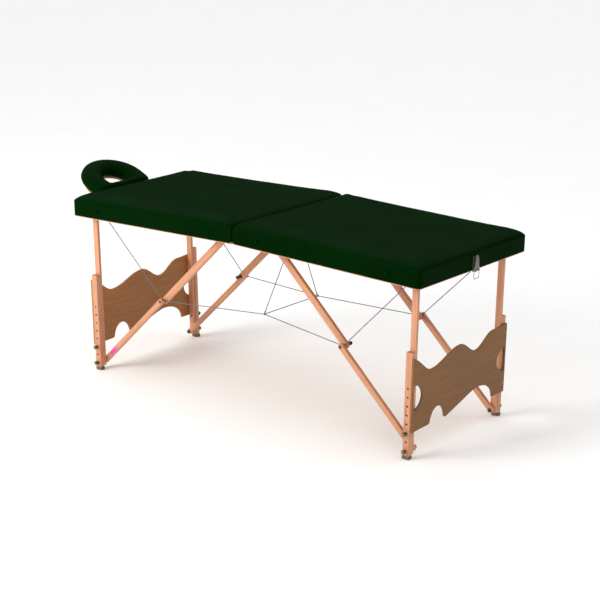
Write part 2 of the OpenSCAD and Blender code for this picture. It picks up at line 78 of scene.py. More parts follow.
# Upholstery
LEATHER_T = 2.0 * MM
EDGE_IN = 42 * MM
SEAM_CORNER_R = 5 * MM
END_CORNER_R = 18 * MM
VOXEL = 8 * MM
CROWN = 7 * MM
SIM_FRAMES = 20
SKIRT_EASE = (67 * MM, 10 * MM)  # heights over which the straight skirt turns into foam
DRIFT = (5, 0.7 * MM)  # broad and fine unevenness of the top: frequency, depth
RIPPLE = (22, 0.35 * MM)
NEAR_SIDE = 14 * MM

# Headrest
REST_NEAR = 80 * MM
REST_CORNER_R = 28 * MM
REST_SWELL = 8 * MM
FACE_AT = -15 * MM
FACE_R = 56 * MM
PLATFORM_TUCK = 38 * MM
PLATFORM_HOLE = (18 * MM, 62 * MM, 98 * MM)  # middle, and half sizes along and across

# Latch
LATCH_W = 26 * MM
LATCH_PIVOT = (938.5 * MM, 2 * MM)
LATCH_PIN_R = 4 * MM
RIVET_N = 45 * MM
WIRE_R = 1.6 * MM

# Cables
CABLE_R = 1.95 * MM
CABLE_LAY = 20 * MM
RING_R = 8 * MM
KNEE_RING_OFF = 2.1 * MM
CLIP_R = 5 * MM


# ---- places ----


def mm(*rows):
    """Rows of millimetres in metres."""
    return [tuple(v * MM for v in row) for row in rows]


def corners(points):
    """The lowest and highest corners of some points."""
    columns = list(zip(*points))
    return Vector([min(c) for c in columns]), Vector([max(c) for c in columns])


def middle_of(points):
    low, high = corners(points)
    return (low + high) / 2, low, high


def circle(at, u, v, r, sides, start=0.0):
    """Points round a circle whose radius may be a function of the angle."""
    angles = [start + 2 * pi * j / sides for j in range(sides)]
    return [at + (u * cos(a) + v * sin(a)) * (r(a) if callable(r) else r) for a in angles]


class Half:
    """One half of the table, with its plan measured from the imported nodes."""

    def __init__(self, name):
        self.name = name
        self.side = -1 if name == "left" else 1
        low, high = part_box("hinge_pin")
        self.hinge_x = (low.x + high.x) / 2
        deck = [v.co for v in NODES[name + "_deck"].data.vertices]
        near = max(deck, key=lambda p: p.z)
        far = max(deck, key=lambda p: self.side * p.x)
        self.camber = atan2(near.z - far.z, self.side * (far.x - near.x))
        rails = [v.co for v in NODES[name + "_side_rails"].data.vertices]
        foot = min(rails, key=lambda p: p.z)
        self.hinge_h = foot.z + self.side * (foot.x - self.hinge_x) * tan(self.camber)

    def at(self, s, y, n):
        """A plan point in the row frame."""
        c, k = cos(self.camber), sin(self.camber)
        return Vector((self.hinge_x + self.side * (s * c + n * k), y, self.hinge_h - s * k + n * c))

    def plan(self, p):
        """A row frame point in the plan."""
        c, k = cos(self.camber), sin(self.camber)
        x, z = self.side * (p.x - self.hinge_x), p.z - self.hinge_h
        return Vector((x * c - z * k, p.y, x * k + z * c))

    def box(self, node):
        """A node's lowest and highest corners in the plan."""
        return corners([self.plan(v.co) for v in NODES[node].data.vertices])

    def way(self, s, n):
        """A direction of the plan in the row frame."""
        return (self.at(s, 0, n) - self.at(0, 0, 0)).normalized()


HALVES = [Half("left"), Half("right")]
LEFT, RIGHT = HALVES
HINGE_X = LEFT.hinge_x


# ---- node materials ----


class Shader:
    """A material's node tree, with short ways to add the nodes used here."""

    def __init__(self, name):
        self.material = bpy.data.materials.new(name)
        self.material.use_nodes = True
        self.tree = self.material.node_tree
        self.surface = self.tree.nodes["Principled BSDF"]
        self.where = self.node("ShaderNodeTexCoord").outputs["Object"]

    def node(self, kind, **values):
        made = self.tree.nodes.new(kind)
        for key, value in values.items():
            setattr(made, key, value)
        return made

    def link(self, a, b):
        self.tree.links.new(a, b)

    def set(self, **values):
        for key, value in values.items():
            self.surface.inputs[key.replace("_", " ")].default_value = value

    def textured(self, kind, vector, **values):
        """A node fed by a vector, with its other inputs set by name."""
        made = self.node("ShaderNode" + kind)
        for key, value in values.items():
            made.inputs[key].default_value = value
        self.link(vector, made.inputs["Vector"])
        return made

    def mapped(self, turn=(0, 0, 0), stretch=(1, 1, 1), source=None):
        turned = self.textured("Mapping", source or self.where, Rotation=turn).outputs[0]
        return self.textured("Mapping", turned, Scale=stretch).outputs[0]

    def noise(self, vector, scale, detail=3.0, rough=0.5, distortion=0.0):
        values = {"Scale": scale, "Detail": detail, "Roughness": rough, "Distortion": distortion}
        return self.textured("TexNoise", vector, **values).outputs["Fac"]

    def cells(self, vector, scale, feature="F1"):
        made = self.textured("TexVoronoi", vector, Scale=scale)
        made.feature = feature
        return made.outputs["Distance"]

    def ramp(self, value, *stops):
        """Colour or grey along a value. Each stop is (place, colour)."""
        made = self.node("ShaderNodeValToRGB")
        entries = made.color_ramp.elements
        while len(entries) < len(stops):
            entries.new(0.5)
        for entry, (place, tone) in zip(entries, stops):
            entry.position = place
            entry.color = (*(tone if isinstance(tone, tuple) else (tone,) * 3), 1)
        self.link(value, made.inputs["Fac"])
        return made.outputs["Color"]

    def mix(self, a, b, share, kind="MIX"):
        made = self.node("ShaderNodeMix", data_type="RGBA", blend_type=kind)
        for name, value in (("A", a), ("B", b), ("Factor", share)):
            target = next(i for i in made.inputs if i.name == name and i.enabled)
            if isinstance(value, bpy.types.NodeSocket):
                self.link(value, target)
            elif target.type == "RGBA":
                target.default_value = (*value, 1)
            else:
                target.default_value = value
        return next(o for o in made.outputs if o.enabled)

    def math(self, kind, a, b=None, c=None):
        made = self.node("ShaderNodeMath", operation=kind)
        for i, value in enumerate((a, b, c)):
            if isinstance(value, bpy.types.NodeSocket):
                self.link(value, made.inputs[i])
            elif value is not None:
                made.inputs[i].default_value = value
        return made.outputs[0]

    def facing(self, way):
        """How far a surface faces along a direction, whichever way it points: 0 to 1."""
        dot = self.node("ShaderNodeVectorMath", operation="DOT_PRODUCT")
        self.link(self.node("ShaderNodeTexCoord").outputs["Normal"], dot.inputs[0])
        dot.inputs[1].default_value = way
        return self.math("ABSOLUTE", dot.outputs["Value"])

    def bump(self, height, distance, strength=1.0, after=None):
        made = self.node("ShaderNodeBump")
        made.inputs["Strength"].default_value = strength
        made.inputs["Distance"].default_value = distance
        self.link(height, made.inputs["Height"])
        if after is not None:
            self.link(after, made.inputs["Normal"])
        return made.outputs["Normal"]

    def finish(self, color=None, rough=None, normal=None):
        for value, socket in ((color, "Base Color"), (rough, "Roughness"), (normal, "Normal")):
            if value is not None:
                self.link(value, self.surface.inputs[socket])
        return self.material


def spread(shader, value, low, high):
    """A texture's value moved to run from low to high."""
    made = shader.node("ShaderNodeMapRange")
    made.inputs["To Min"].default_value = low
    made.inputs["To Max"].default_value = high
    shader.link(value, made.inputs["Value"])
    return made.outputs["Result"]


def stretched(shader, turn):
    """Coordinates turned so that x runs along the grain, then stretched as asked."""
    turned = shader.mapped(turn)
    return lambda stretch: shader.mapped(stretch=stretch, source=turned)


def shade(share, tone):
    return tuple(min(1.0, share * v) for v in tone)


def vinyl_material(name, base=(0.0005, 0.0125, 0.0007)):
    """Deep green upholstery vinyl with a fine pebbled grain."""
    m = Shader(name)
    broad = m.noise(m.where, 5, 4)
    mottle = m.noise(m.where, 60, 3)
    tone = m.mix(m.ramp(broad, (0.3, shade(0.72, base)), (0.7, shade(1.3, base))), base, 0.45)
    tone = m.mix(tone, m.ramp(mottle, (0.35, 0.82), (0.65, 1.0)), 0.6, "MULTIPLY")
    pebble = m.cells(m.mapped(), 620, "SMOOTH_F1")
    crease = m.noise(m.where, 240, 4, 0.6)
    grain = m.math("ADD", m.math("MULTIPLY", pebble, 0.7), m.math("MULTIPLY", crease, 0.5))
    patchy = m.math("ADD", m.math("MULTIPLY", mottle, 0.5), m.math("MULTIPLY", pebble, 0.5))
    m.set(Specular_IOR_Level=0.01, Specular_Tint=(0.35, 1.0, 0.45, 1))
    fine = m.bump(grain, 0.35 * MM, 0.5)
    return m.finish(tone, spread(m, patchy, 0.34, 0.5), m.bump(broad, 1.5 * MM, 0.3, fine))


def beech_material(name, turn, way, light=(0.7, 0.328, 0.178), dark=(0.53, 0.22, 0.105)):
    """Lacquered beech whose grain runs along one direction, with darker end grain."""
    m = Shader(name)
    along = stretched(m, turn)
    streaks = m.noise(along((0.05, 1, 1)), 130, 5, 0.6, 0.4)
    bands = m.noise(along((0.12, 1, 1)), 22, 3, 0.5, 0.8)
    fleck = m.cells(along((0.16, 1, 1)), 520)
    tone = m.mix(m.ramp(streaks, (0.3, dark), (0.62, light)), light, 0.35)
    tone = m.mix(tone, m.ramp(bands, (0.35, 0.8), (0.6, 1.0)), 0.55, "MULTIPLY")
    tone = m.mix(tone, m.ramp(fleck, (0.04, 0.62), (0.16, 1.0)), 0.45, "MULTIPLY")
    rings = m.noise(along((0.3, 1, 1)), 160, 2)
    end_tone = m.ramp(rings, (0.35, shade(0.55, dark)), (0.65, shade(0.9, dark)))
    end = m.ramp(m.facing(way), (0.8, 0.0), (0.95, 1.0))
    tone = m.mix(tone, end_tone, end)
    m.set(Coat_Weight=0.12, Coat_Roughness=0.3, Specular_IOR_Level=0.4)
    height = m.math("ADD", streaks, m.math("MULTIPLY", fleck, 0.25))
    return m.finish(tone, spread(m, streaks, 0.34, 0.52), m.bump(height, 0.25 * MM, 0.5))


def ply_material(half, node, light, dark, plies=7, grain_y=True):
    """Plywood: a brown veneer with its grain across the table, and the plies' layers on its edges."""
    m = Shader(f"ply_{node}_{half.name}")
    low, high = half.box(f"{half.name}_{node}")
    thick_way = half.way(1, 0) if grain_y else half.way(0, 1)
    turn = (0, 0, -pi / 2) if grain_y else (0, half.side * half.camber, 0)
    along = stretched(m, turn)
    streaks = m.noise(along((0.06, 1, 1)), 90, 5, 0.6, 0.6)
    broad = m.noise(along((0.35, 1, 1)), 7, 3, 0.5, 0.5)
    pores = m.cells(along((0.08, 1, 1)), 420)
    face = m.ramp(streaks, (0.28, dark), (0.68, light))
    warm = m.ramp(broad, (0.3, (0.82, 0.86, 0.95)), (0.7, (1.0, 0.93, 0.8)))
    face = m.mix(face, warm, 0.8, "MULTIPLY")
    face = m.mix(face, m.ramp(pores, (0.03, 0.6), (0.12, 1.0)), 0.5, "MULTIPLY")
    depth = m.node("ShaderNodeVectorMath", operation="DOT_PRODUCT")
    m.link(m.where, depth.inputs[0])
    depth.inputs[1].default_value = thick_way
    axis = 0 if grain_y else 2
    start = half.at(low.x, 0, 0 if grain_y else low.z).dot(thick_way)
    thickness = high[axis] - low[axis]
    layer = m.math("MULTIPLY", m.math("SUBTRACT", depth.outputs["Value"], start), plies / thickness)
    stripe = m.math("PINGPONG", layer, 1.0)
    edge = m.ramp(stripe, (0.4, shade(0.55, dark)), (0.56, shade(1.5, light)))
    edge = m.mix(edge, m.ramp(streaks, (0.3, 0.7), (0.7, 1.0)), 0.6, "MULTIPLY")
    tone = m.mix(edge, face, m.ramp(m.facing(thick_way), (0.55, 0.0), (0.8, 1.0)))
    m.set(Specular_IOR_Level=0.35)
    return m.finish(tone, spread(m, streaks, 0.42, 0.6), m.bump(streaks, 0.2 * MM, 0.5))


def metal_material(name, base, rough=(0.28, 0.45), metallic=1.0, tarnish=0.55, brushed=(1, 1, 1)):
    """Plated metal with fine scratches and dull patches."""
    m = Shader(name)
    patches = m.noise(m.where, 90, 4, 0.6)
    fine = m.noise(m.mapped(stretch=brushed), 900, 3, 0.6)
    scratches = m.cells(m.mapped((0.4, 0.9, 0.2), (0.05, 1, 1)), 260)
    tone = m.ramp(patches, (0.32, shade(tarnish, base)), (0.6, base))
    tone = m.mix(tone, m.ramp(scratches, (0.02, 1.0), (0.06, 0.86)), 0.4, "MULTIPLY")
    m.set(Metallic=metallic)
    shine = m.math("ADD", m.math("MULTIPLY", patches, 0.6), m.math("MULTIPLY", fine, 0.4))
    return m.finish(tone, spread(m, shine, *rough), m.bump(fine, 0.05 * MM, 0.3))


def plastic_material(name, base, rough=(0.35, 0.5), specular=0.4, grain=0.12):
    """Moulded plastic or rubber with a fine spark-eroded grain."""
    m = Shader(name)
    broad = m.noise(m.where, 45, 3)
    grit = m.noise(m.where, 1500, 2)
    m.set(Specular_IOR_Level=specular)
    tone = m.ramp(broad, (0.3, shade(0.75, base)), (0.7, shade(1.25, base)))
    return m.finish(tone, spread(m, broad, *rough), m.bump(grit, grain * MM, 0.5))


def webbing_material(name, half):
    """Woven strap: ribs along its length crossed by fine picks."""
    m = Shader(name)
    turned = m.mapped((0, half.side * half.camber, 0))
    split = m.node("ShaderNodeSeparateXYZ")
    m.link(turned, split.inputs[0])
    ribs = m.math("SINE", m.math("MULTIPLY", split.outputs["Z"], 2 * pi / (1.6 * MM)))
    picks = m.math("SINE", m.math("MULTIPLY", split.outputs["X"], 2 * pi / (1.1 * MM)))
    weave = m.math("MULTIPLY", m.math("ADD", ribs, 1.4), m.math("ADD", picks, 1.6))
    fuzz = m.noise(m.where, 700, 3)
    tone = m.ramp(spread(m, weave, 0, 0.2), (0.0, (0.006, 0.007, 0.006)), (1.0, (0.022, 0.027, 0.022)))
    tone = m.mix(tone, m.ramp(fuzz, (0.3, 0.7), (0.7, 1.0)), 0.6, "MULTIPLY")
    m.set(Sheen_Weight=0.3, Sheen_Roughness=0.5)
    return m.finish(tone, spread(m, fuzz, 0.75, 0.95), m.bump(weave, 0.12 * MM, 0.8))


def floor_material():
    m = Shader("floor_paper")
    soft = m.noise(m.where, 3, 2)
    m.set(Specular_IOR_Level=0.0)
    return m.finish(m.ramp(soft, (0.3, 0.955), (0.7, 0.97)))


def wood_turns(half):
    """Mapping turns and grain directions for the wood of one half, by how the wood runs."""
    top = half.box(half.name + "_upper_braces")
    lower = half.box(half.name + "_lower_braces")
    brace_way = half.way(lower[1].x - top[0].x, lower[0].z - top[1].z)
    ways = {"long": half.way(1, 0), "leg": half.way(0, 1), "brace": brace_way}
    made = {"cross": ((0, 0, -pi / 2), Vector((0, 1, 0)))}
    for key, way in ways.items():
        made[key] = ((0, atan2(way.z, way.x), 0), way)
    return made


MATERIALS = {
    "vinyl": vinyl_material("vinyl"),
    "button": vinyl_material("button_vinyl", (0.001, 0.019, 0.0012)),
    "steel": metal_material("zinc_steel", (0.52, 0.52, 0.54)),
    "latch": metal_material("latch_plate", (0.235, 0.215, 0.185), (0.32, 0.5), 0.85, 0.75),
    "brass": metal_material("brass", (0.5, 0.4, 0.2), (0.3, 0.48), 1.0, 0.5),
    "copper": metal_material("rivet_copper", (0.42, 0.17, 0.1), (0.35, 0.5), 1.0, 0.6),
    "dark_bolt": metal_material("dark_bolt", (0.13, 0.105, 0.08), (0.35, 0.55), 0.9, 0.6),
    "knob": plastic_material("knob_plastic", (0.085, 0.066, 0.034), (0.3, 0.45)),
    "rubber": plastic_material("foot_rubber", (0.17, 0.125, 0.09), (0.65, 0.85), 0.3, 0.3),
    "dark_plastic": plastic_material("dark_plastic", (0.02, 0.018, 0.016)),
    "cable": metal_material("cable_wire", (0.2, 0.2, 0.205), (0.4, 0.6), 0.6, 0.7),
    "thread": plastic_material("green_thread", (0.004, 0.045, 0.006), (0.6, 0.8), 0.2, 0.05),
    "strap_thread": plastic_material("strap_thread", (0.05, 0.055, 0.05), (0.6, 0.8), 0.2, 0.05),
    "sticker": plastic_material("pink_sticker", (0.85, 0.06, 0.38), (0.4, 0.5), 0.4, 0.02),
}
# Both end panels are the same plywood: the right panel's darker tones are painted shade, for its outer face
# lying in shade
PANEL_TONES_WITH_PAINTED_SHADE = {
    "left": ((0.46, 0.212, 0.07), (0.35, 0.15, 0.046)),
    "right": ((0.27, 0.122, 0.034), (0.2, 0.086, 0.022)),
}
DECK_TONES = ((0.62, 0.43, 0.26), (0.43, 0.27, 0.15))
for each in HALVES:
    for key, (turn, way) in wood_turns(each).items():
        MATERIALS[f"{each.name}_{key}"] = beech_material(f"beech_{each.name}_{key}", turn, way)
    MATERIALS[each.name + "_panel"] = ply_material(each, "end_panel", *PANEL_TONES_WITH_PAINTED_SHADE[each.name])
    MATERIALS[each.name + "_deck"] = ply_material(each, "deck", *DECK_TONES, 5, False)
    MATERIALS[each.name + "_strap"] = webbing_material("webbing_" + each.name, each)


# ---- making pieces ----


def piece_from(name, mesh, body, material, replaces=()):
    obj = bpy.data.objects.new(name, mesh)
    bpy.context.scene.collection.objects.link(obj)
    mesh.materials.clear()
    mesh.materials.append(MATERIALS[material])
    for polygon in mesh.polygons:
        polygon.use_smooth = True
    if body:
        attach(obj, body)
    if replaces:
        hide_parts(*replaces)
    return obj


class Shape:
    """Vertices and faces gathered for one piece."""

    def __init__(self):
        self.points = []
        self.faces = []

    def loops(self, rings, caps=True, closed=True):
        """Skins a list of rings that have the same number of points."""
        first = len(self.points)
        count = len(rings[0])
        for ring in rings:
            self.points.extend(Vector(p) for p in ring)
        for i in range(len(rings) - 1):
            for j in range(count if closed else count - 1):
                a, b = first + i * count + j, first + i * count + (j + 1) % count
                self.faces.append((a, b, b + count, a + count))
        if caps:
            self.faces.append(tuple(first + j for j in reversed(range(count))))
            last = first + (len(rings) - 1) * count
            self.faces.append(tuple(last + j for j in range(count)))
        return self

    def tube(self, path, r, sides=12, twist=0.0, lobes=0, closed=False):
        """A tube along a path. Lobes and a twist in radians per metre make it a wire rope."""
        path = [Vector(p) for p in path]
        count = len(path)
        way = (path[1] - path[0]).normalized()
        across = way.orthogonal().normalized()
        gone, rings = 0.0, []
        for i, p in enumerate(path):
            ahead = path[(i + 1) % count] if closed or i < count - 1 else p
            behind = path[i - 1] if closed or i else p
            now = (ahead - behind).normalized()
            across = (way.rotation_difference(now) @ across).normalized()
            way = now
            gone += (p - path[i - 1]).length if i else 0.0
            turn = twist * gone
            reach = (lambda a: r * (0.84 + 0.16 * abs(cos(lobes * (a - turn) / 2)))) if lobes else r
            rings.append(circle(p, across, way.cross(across), reach, sides, turn))
        if closed:
            rings.append(rings[0])
        return self.loops(rings, caps=not closed)

    def lathe(self, start, way, profile, sides=24, shape=None):
        """Turns (distance, radius) points about an axis. shape(angle, distance) scales the radius."""
        way = Vector(way).normalized()
        across = way.orthogonal().normalized()
        up = way.cross(across)
        rings = []
        for along, radius in profile:
            reach = (lambda a: radius * shape(a, along)) if shape else radius
            rings.append(circle(start + way * along, across, up, reach, sides))
        return self.loops(rings)

    def made(self, name, body, slot, material, *replaces):
        mesh = bpy.data.meshes.new(name)
        mesh.from_pydata(self.points, [], self.faces)
        bm = bmesh.new()
        bm.from_mesh(mesh)
        bmesh.ops.remove_doubles(bm, verts=bm.verts, dist=1e-7)
        bmesh.ops.recalc_face_normals(bm, faces=bm.faces)
        bm.to_mesh(mesh)
        bm.free()
        obj = piece_from(name, mesh, body, material, replaces)
        sharpen(obj)
        return obj


def sharpen(obj, degrees=38):
    """Keeps edges sharper than an angle crisp in an otherwise smooth piece."""
    bm = bmesh.new()
    bm.from_mesh(obj.data)
    for edge in bm.edges:
        edge.smooth = not (len(edge.link_faces) == 2 and edge.calc_face_angle(0) > radians(degrees))
    bm.to_mesh(obj.data)
    bm.free()


def soften_cad(node, material, width, segments=3):
    """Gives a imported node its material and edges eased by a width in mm. Its own mesh stays as it is."""
    obj = NODES[node]
    obj.data.materials.clear()
    obj.data.materials.append(MATERIALS[material])
    for polygon in obj.data.polygons:
        polygon.use_smooth = True
    weld = obj.modifiers.new("weld", "WELD")
    weld.merge_threshold = 1e-6
    flat = obj.modifiers.new("flat", "DECIMATE")
    flat.decimate_type = "DISSOLVE"
    flat.angle_limit = radians(0.6)
    ease = obj.modifiers.new("ease", "BEVEL")
    ease.width = width * MM
    ease.segments = segments
    ease.limit_method = "ANGLE"
    ease.angle_limit = radians(40)
    ease.harden_normals = False
    ease.use_clamp_overlap = False
    level = obj.modifiers.new("level", "WEIGHTED_NORMAL")
    level.keep_sharp = False


# ---- cloth ----


def rounded_loop(low, high, inset, seam_r, end_r, n, arc=7):
    """A rounded rectangle in the plan at height n. Its corners at the seam and at the end differ."""
    s0, s1 = low[0] + inset, high[0] - inset
    y0, y1 = low[1] + inset, high[1] - inset
    loop = []
    places = ((s1, y1, end_r), (s0, y1, seam_r), (s0, y0, seam_r), (s1, y0, end_r))
    for corner, (s, y, r) in enumerate(places):
        cs, cy = s + (r if s == s0 else -r), y + (r if y == y0 else -r)
        for j in range(arc + 1):
            a = radians(90 * (corner + j / arc))
            loop.append(Vector((cs + r * cos(a), cy + r * sin(a), n)))
    return loop


def remeshed(obj, voxel):
    bpy.context.view_layer.objects.active = obj
    obj.select_set(True)
    obj.data.remesh_voxel_size = voxel
    obj.data.remesh_voxel_adaptivity = 0
    bpy.ops.object.voxel_remesh()
    obj.select_set(False)


def eased_points(obj, rounds, factor=0.5):
    bm = bmesh.new()
    bm.from_mesh(obj.data)
    for _ in range(rounds):
        bmesh.ops.smooth_vert(
            bm, verts=bm.verts, factor=factor, use_axis_x=True, use_axis_y=True, use_axis_z=True
        )
    bm.to_mesh(obj.data)
    bm.free()


def puffed(obj, free, cap, pressure, stiff=12.0):
    """Runs the cloth with air pressure inside, holds the vertices that free(point) gives no share, and
    lets no point move further than the cap. The result becomes the mesh."""
    rest = [v.co.copy() for v in obj.data.vertices]
    shares = [free(p) for p in rest]
    pins = obj.vertex_groups.new(name="pins")
    for i, share in enumerate(shares):
        pins.add([i], 1.0 - share, "REPLACE")
    modifier = obj.modifiers.new("cloth", "CLOTH")
    cloth = modifier.settings
    cloth.quality, cloth.mass, cloth.bending_stiffness = 5, 0.35, 3.0
    cloth.tension_stiffness = cloth.compression_stiffness = stiff
    cloth.shear_stiffness = stiff / 2
    cloth.use_pressure, cloth.uniform_pressure_force = True, pressure
    cloth.effector_weights.gravity = 0
    cloth.vertex_group_mass = "pins"
    scene = bpy.context.scene
    for f in range(1, SIM_FRAMES + 1):
        scene.frame_set(f)
    graph = bpy.context.evaluated_depsgraph_get()
    moved = [v.co.copy() for v in obj.evaluated_get(graph).data.vertices]
    obj.modifiers.remove(modifier)
    obj.vertex_groups.clear()
    scene.frame_set(1)
    for vertex, start, end, share in zip(obj.data.vertices, rest, moved, shares):
        step = end - start
        length = step.length
        if length > 1e-9:
            step *= cap * tanh(length / cap) / length
        vertex.co = start + step * min(1.0, 2 * share)


def subdivided(obj):
    modifier = obj.modifiers.new("finer", "SUBSURF")
    modifier.levels = modifier.render_levels = 1
    graph = bpy.context.evaluated_depsgraph_get()
    mesh = bpy.data.meshes.new_from_object(obj.evaluated_get(graph))
    obj.modifiers.remove(modifier)
    old = obj.data
    obj.data = mesh
    bpy.data.meshes.remove(old)


def smooth_step(t):
    t = min(1.0, max(0.0, t))
    return t * t * (3 - 2 * t)


def upholstery_plan():
    """The right half's cover in its own plan: simulated foam on top, and straight sides down the rails."""
    low, high = RIGHT.box("right_pad")
    skirt_low = RIGHT.box("right_cover_skirt")[0].z
    outer = ((low.x, low.y), (high.x, high.y))
    top, edge_n = high.z - CROWN, RIGHT.box("right_deck")[1].z
    rings = []
    for share in (0, 0.25, 0.5, 0.75, 1.0):
        n = skirt_low + (edge_n - skirt_low) * share
        rings.append(rounded_loop(*outer, 0, SEAM_CORNER_R, END_CORNER_R, n))
    steps = 8
    for j in range(1, steps + 1):
        a = radians(90 * j / steps)
        inset, grown = EDGE_IN * (1 - cos(a)), 30 * MM * (1 - cos(a))
        n = edge_n + (top - edge_n) * sin(a)
        rings.append(rounded_loop(*outer, inset, SEAM_CORNER_R + grown, END_CORNER_R + 2 * grown, n))
    obj = Shape().loops(rings).made("upholstery_form", None, None, "vinyl")
    remeshed(obj, VOXEL)
    eased_points(obj, 4)
    hold_n, free_n = edge_n + 2 * MM, edge_n + 26 * MM
    puffed(obj, lambda p: smooth_step((p.z - hold_n) / (free_n - hold_n)), CROWN, 4.0)
    eased_points(obj, 1, 0.3)
    subdivided(obj)
    return obj, low, high, skirt_low


def on_outline(p, low, high, inset=0.0):
    """The nearest point to p on the cover's outline, drawn in by an inset."""
    at_end, at_far = p.x > (low.x + high.x) / 2, p.y > (low.y + high.y) / 2
    r = END_CORNER_R if at_end else SEAM_CORNER_R
    s, s_in = (high.x, -1) if at_end else (low.x, 1)
    y, y_in = (high.y, -1) if at_far else (low.y, 1)
    off_s, off_y = (p.x - s) * s_in, (p.y - y) * y_in
    if max(off_s, off_y) < r:
        centre = Vector((s + s_in * r, y + y_in * r, p.z))
        return centre + (p - centre).normalized() * (r - inset)
    if min(off_s, off_y) > NEAR_SIDE:
        return p.copy()
    if off_s < off_y:
        return Vector((s + s_in * inset, p.y, p.z))
    return Vector((p.x, y + y_in * inset, p.z))


def build_upholstery():
    form, low, high, skirt_low = upholstery_plan()
    bm = bmesh.new()
    bm.from_mesh(form.data)
    bottom = [f for f in bm.faces if f.calc_center_median().z < skirt_low + 2.2 * MM and f.normal.z < -0.6]
    bmesh.ops.delete(bm, geom=bottom, context="FACES")
    loose = [v for v in bm.verts if not v.link_faces]
    bmesh.ops.delete(bm, geom=loose, context="VERTS")
    for v in bm.verts:
        lower = 1 - smooth_step((v.co.z - SKIRT_EASE[0]) / SKIRT_EASE[1])
        v.co = v.co.lerp(on_outline(v.co, low, high), lower)
    rim = [e for e in bm.edges if len(e.link_faces) == 1]
    for v in {v for e in rim for v in e.verts}:
        v.co.z = skirt_low
    # Down over the rim, up the inside of the skirt and across under the foam, clear of the rails
    deck_top = RIGHT.box("right_deck")[1].z + 0.2 * MM
    for level in (skirt_low, deck_top):
        grown = bmesh.ops.extrude_edge_only(bm, edges=rim)["geom"]
        verts = [g for g in grown if isinstance(g, bmesh.types.BMVert)]
        rim = [g for g in grown if isinstance(g, bmesh.types.BMEdge) and len(g.link_faces) == 1]
        for v in verts:
            v.co = on_outline(v.co, low, high, LEATHER_T - 0.2 * MM)
            v.co.z = level
    bmesh.ops.holes_fill(bm, edges=rim, sides=0)
    bmesh.ops.recalc_face_normals(bm, faces=bm.faces)
    for half in HALVES:
        mesh = bpy.data.meshes.new(half.name + "_upholstery")
        copy = bm.copy()
        for v in copy.verts:
            x, y, z = v.co
            drift = noise.noise(Vector((x * DRIFT[0], y * DRIFT[0], 10 * half.side))) * DRIFT[1]
            ripple = noise.noise(Vector((x, y, z)) * RIPPLE[0] + Vector((0, 0, 4 * half.side))) * RIPPLE[1]
            soft = smooth_step((v.co.z - 66 * MM) / (20 * MM))
            v.co.z += (drift + ripple) * soft
            v.co = half.at(*v.co)
        bmesh.ops.recalc_face_normals(copy, faces=copy.faces)
        copy.to_mesh(mesh)
        copy.free()
        nodes = (half.name + "_pad", half.name + "_cover_skirt")
        obj = piece_from(half.name + "_upholstery", mesh, half.name + "_half", "vinyl", nodes)
        sharpen(obj, 60)
    bm.free()
    bpy.data.objects.remove(form)


# ---- headrest cushion ----


def cushion_frame():
    """Finds the cushion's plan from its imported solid: the two flat faces give its up direction."""
    mesh = NODES["headrest_cushion"].data
    best = max((p for p in mesh.polygons if p.normal.z > 0.5), key=lambda p: p.area)
    up = best.normal.copy().normalized()
    across = Vector((0, 1, 0))
    out = across.cross(up).normalized()
    if out.x > 0:
        out = -out
    points = [v.co for v in mesh.vertices]
    heights = [p.dot(up) for p in points]
    reach = [p.dot(out) for p in points]
    return up, out, (min(heights), max(heights)), (min(reach), max(reach)), max(p.y for p in points)


def rest_loop(reach, half_w, near, corner, steps=18):
    """The cushion's outline: half an ellipse outside, rounded corners next to the table."""
    loop = []
    for j in range(steps + 1):
        a = radians(-90 + 180 * j / steps)
        loop.append((reach * cos(a), half_w * sin(a)))
    for sign in (1, -1):
        for j in range(1, 7):
            a = radians(90 + 15 * j) if sign > 0 else radians(180 - 15 * (j - 1))
            loop.append((-near + corner * (1 + cos(a)), sign * (half_w - corner * (1 - sin(a)))))
    return loop


def face_loop(outline, at, half_a, half_y):
    """An oval hole's edge, with one point for each point of the outline round it."""
    angles = [atan2(y / half_y, (a - at) / half_a) for a, y in outline]
    return [(at + half_a * cos(a), half_y * sin(a)) for a in angles]


def build_headrest_cushion():
    up, out, heights, reaches, half_w = cushion_frame()
    middle_reach = reaches[0] + REST_NEAR
    reach = reaches[1] - middle_reach
    centre = out * middle_reach + up * ((heights[0] + heights[1]) / 2)
    slim = REST_SWELL * 0.6
    t = (heights[1] - heights[0]) / 2 - slim
    rings = []
    steps = 14
    base = rest_loop(reach - slim, half_w - slim, REST_NEAR - slim, REST_CORNER_R)
    hole_r = FACE_R + 6 * MM
    hole = face_loop(base, FACE_AT, hole_r, hole_r)
    for j in range(steps):
        a = 2 * pi * j / steps
        c, k = cos(a), sin(a)
        # Round towards the hole, and fuller towards the outside
        power = 0.95 if c < 0 else 0.7
        side, rise = copysign(abs(c) ** power, c) / 2, copysign(abs(k) ** 0.9, k) * t
        ring = []
        for (ao, yo), (ah, yh) in zip(base, hole):
            place_a, place_y = (ao + ah) / 2 + (ao - ah) * side, (yo + yh) / 2 + (yo - yh) * side
            ring.append(centre + out * place_a + Vector((0, place_y, 0)) + up * rise)
        rings.append(ring)
    rings.append(rings[0])
    obj = Shape().loops(rings, caps=False).made("headrest_cushion_cover", None, None, "vinyl")
    remeshed(obj, 5 * MM)
    eased_points(obj, 3)
    floor_h = heights[0] + 10 * MM
    held = heights[0] + 2 * MM
    puffed(obj, lambda p: smooth_step((p.dot(up) - held) / (floor_h - heights[0])), REST_SWELL, 5.0)
    eased_points(obj, 1, 0.3)
    subdivided(obj)
    for v in obj.data.vertices:
        below = heights[0] + 0.3 * MM - v.co.dot(up)
        if below > 0:
            v.co += up * below
    for polygon in obj.data.polygons:
        polygon.use_smooth = True
    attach(obj, "headrest_top")
    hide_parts("headrest_cushion")
    build_cushion_seam(obj, up, out, centre, base)
    build_platform(up, out, middle_reach, reach, half_w)


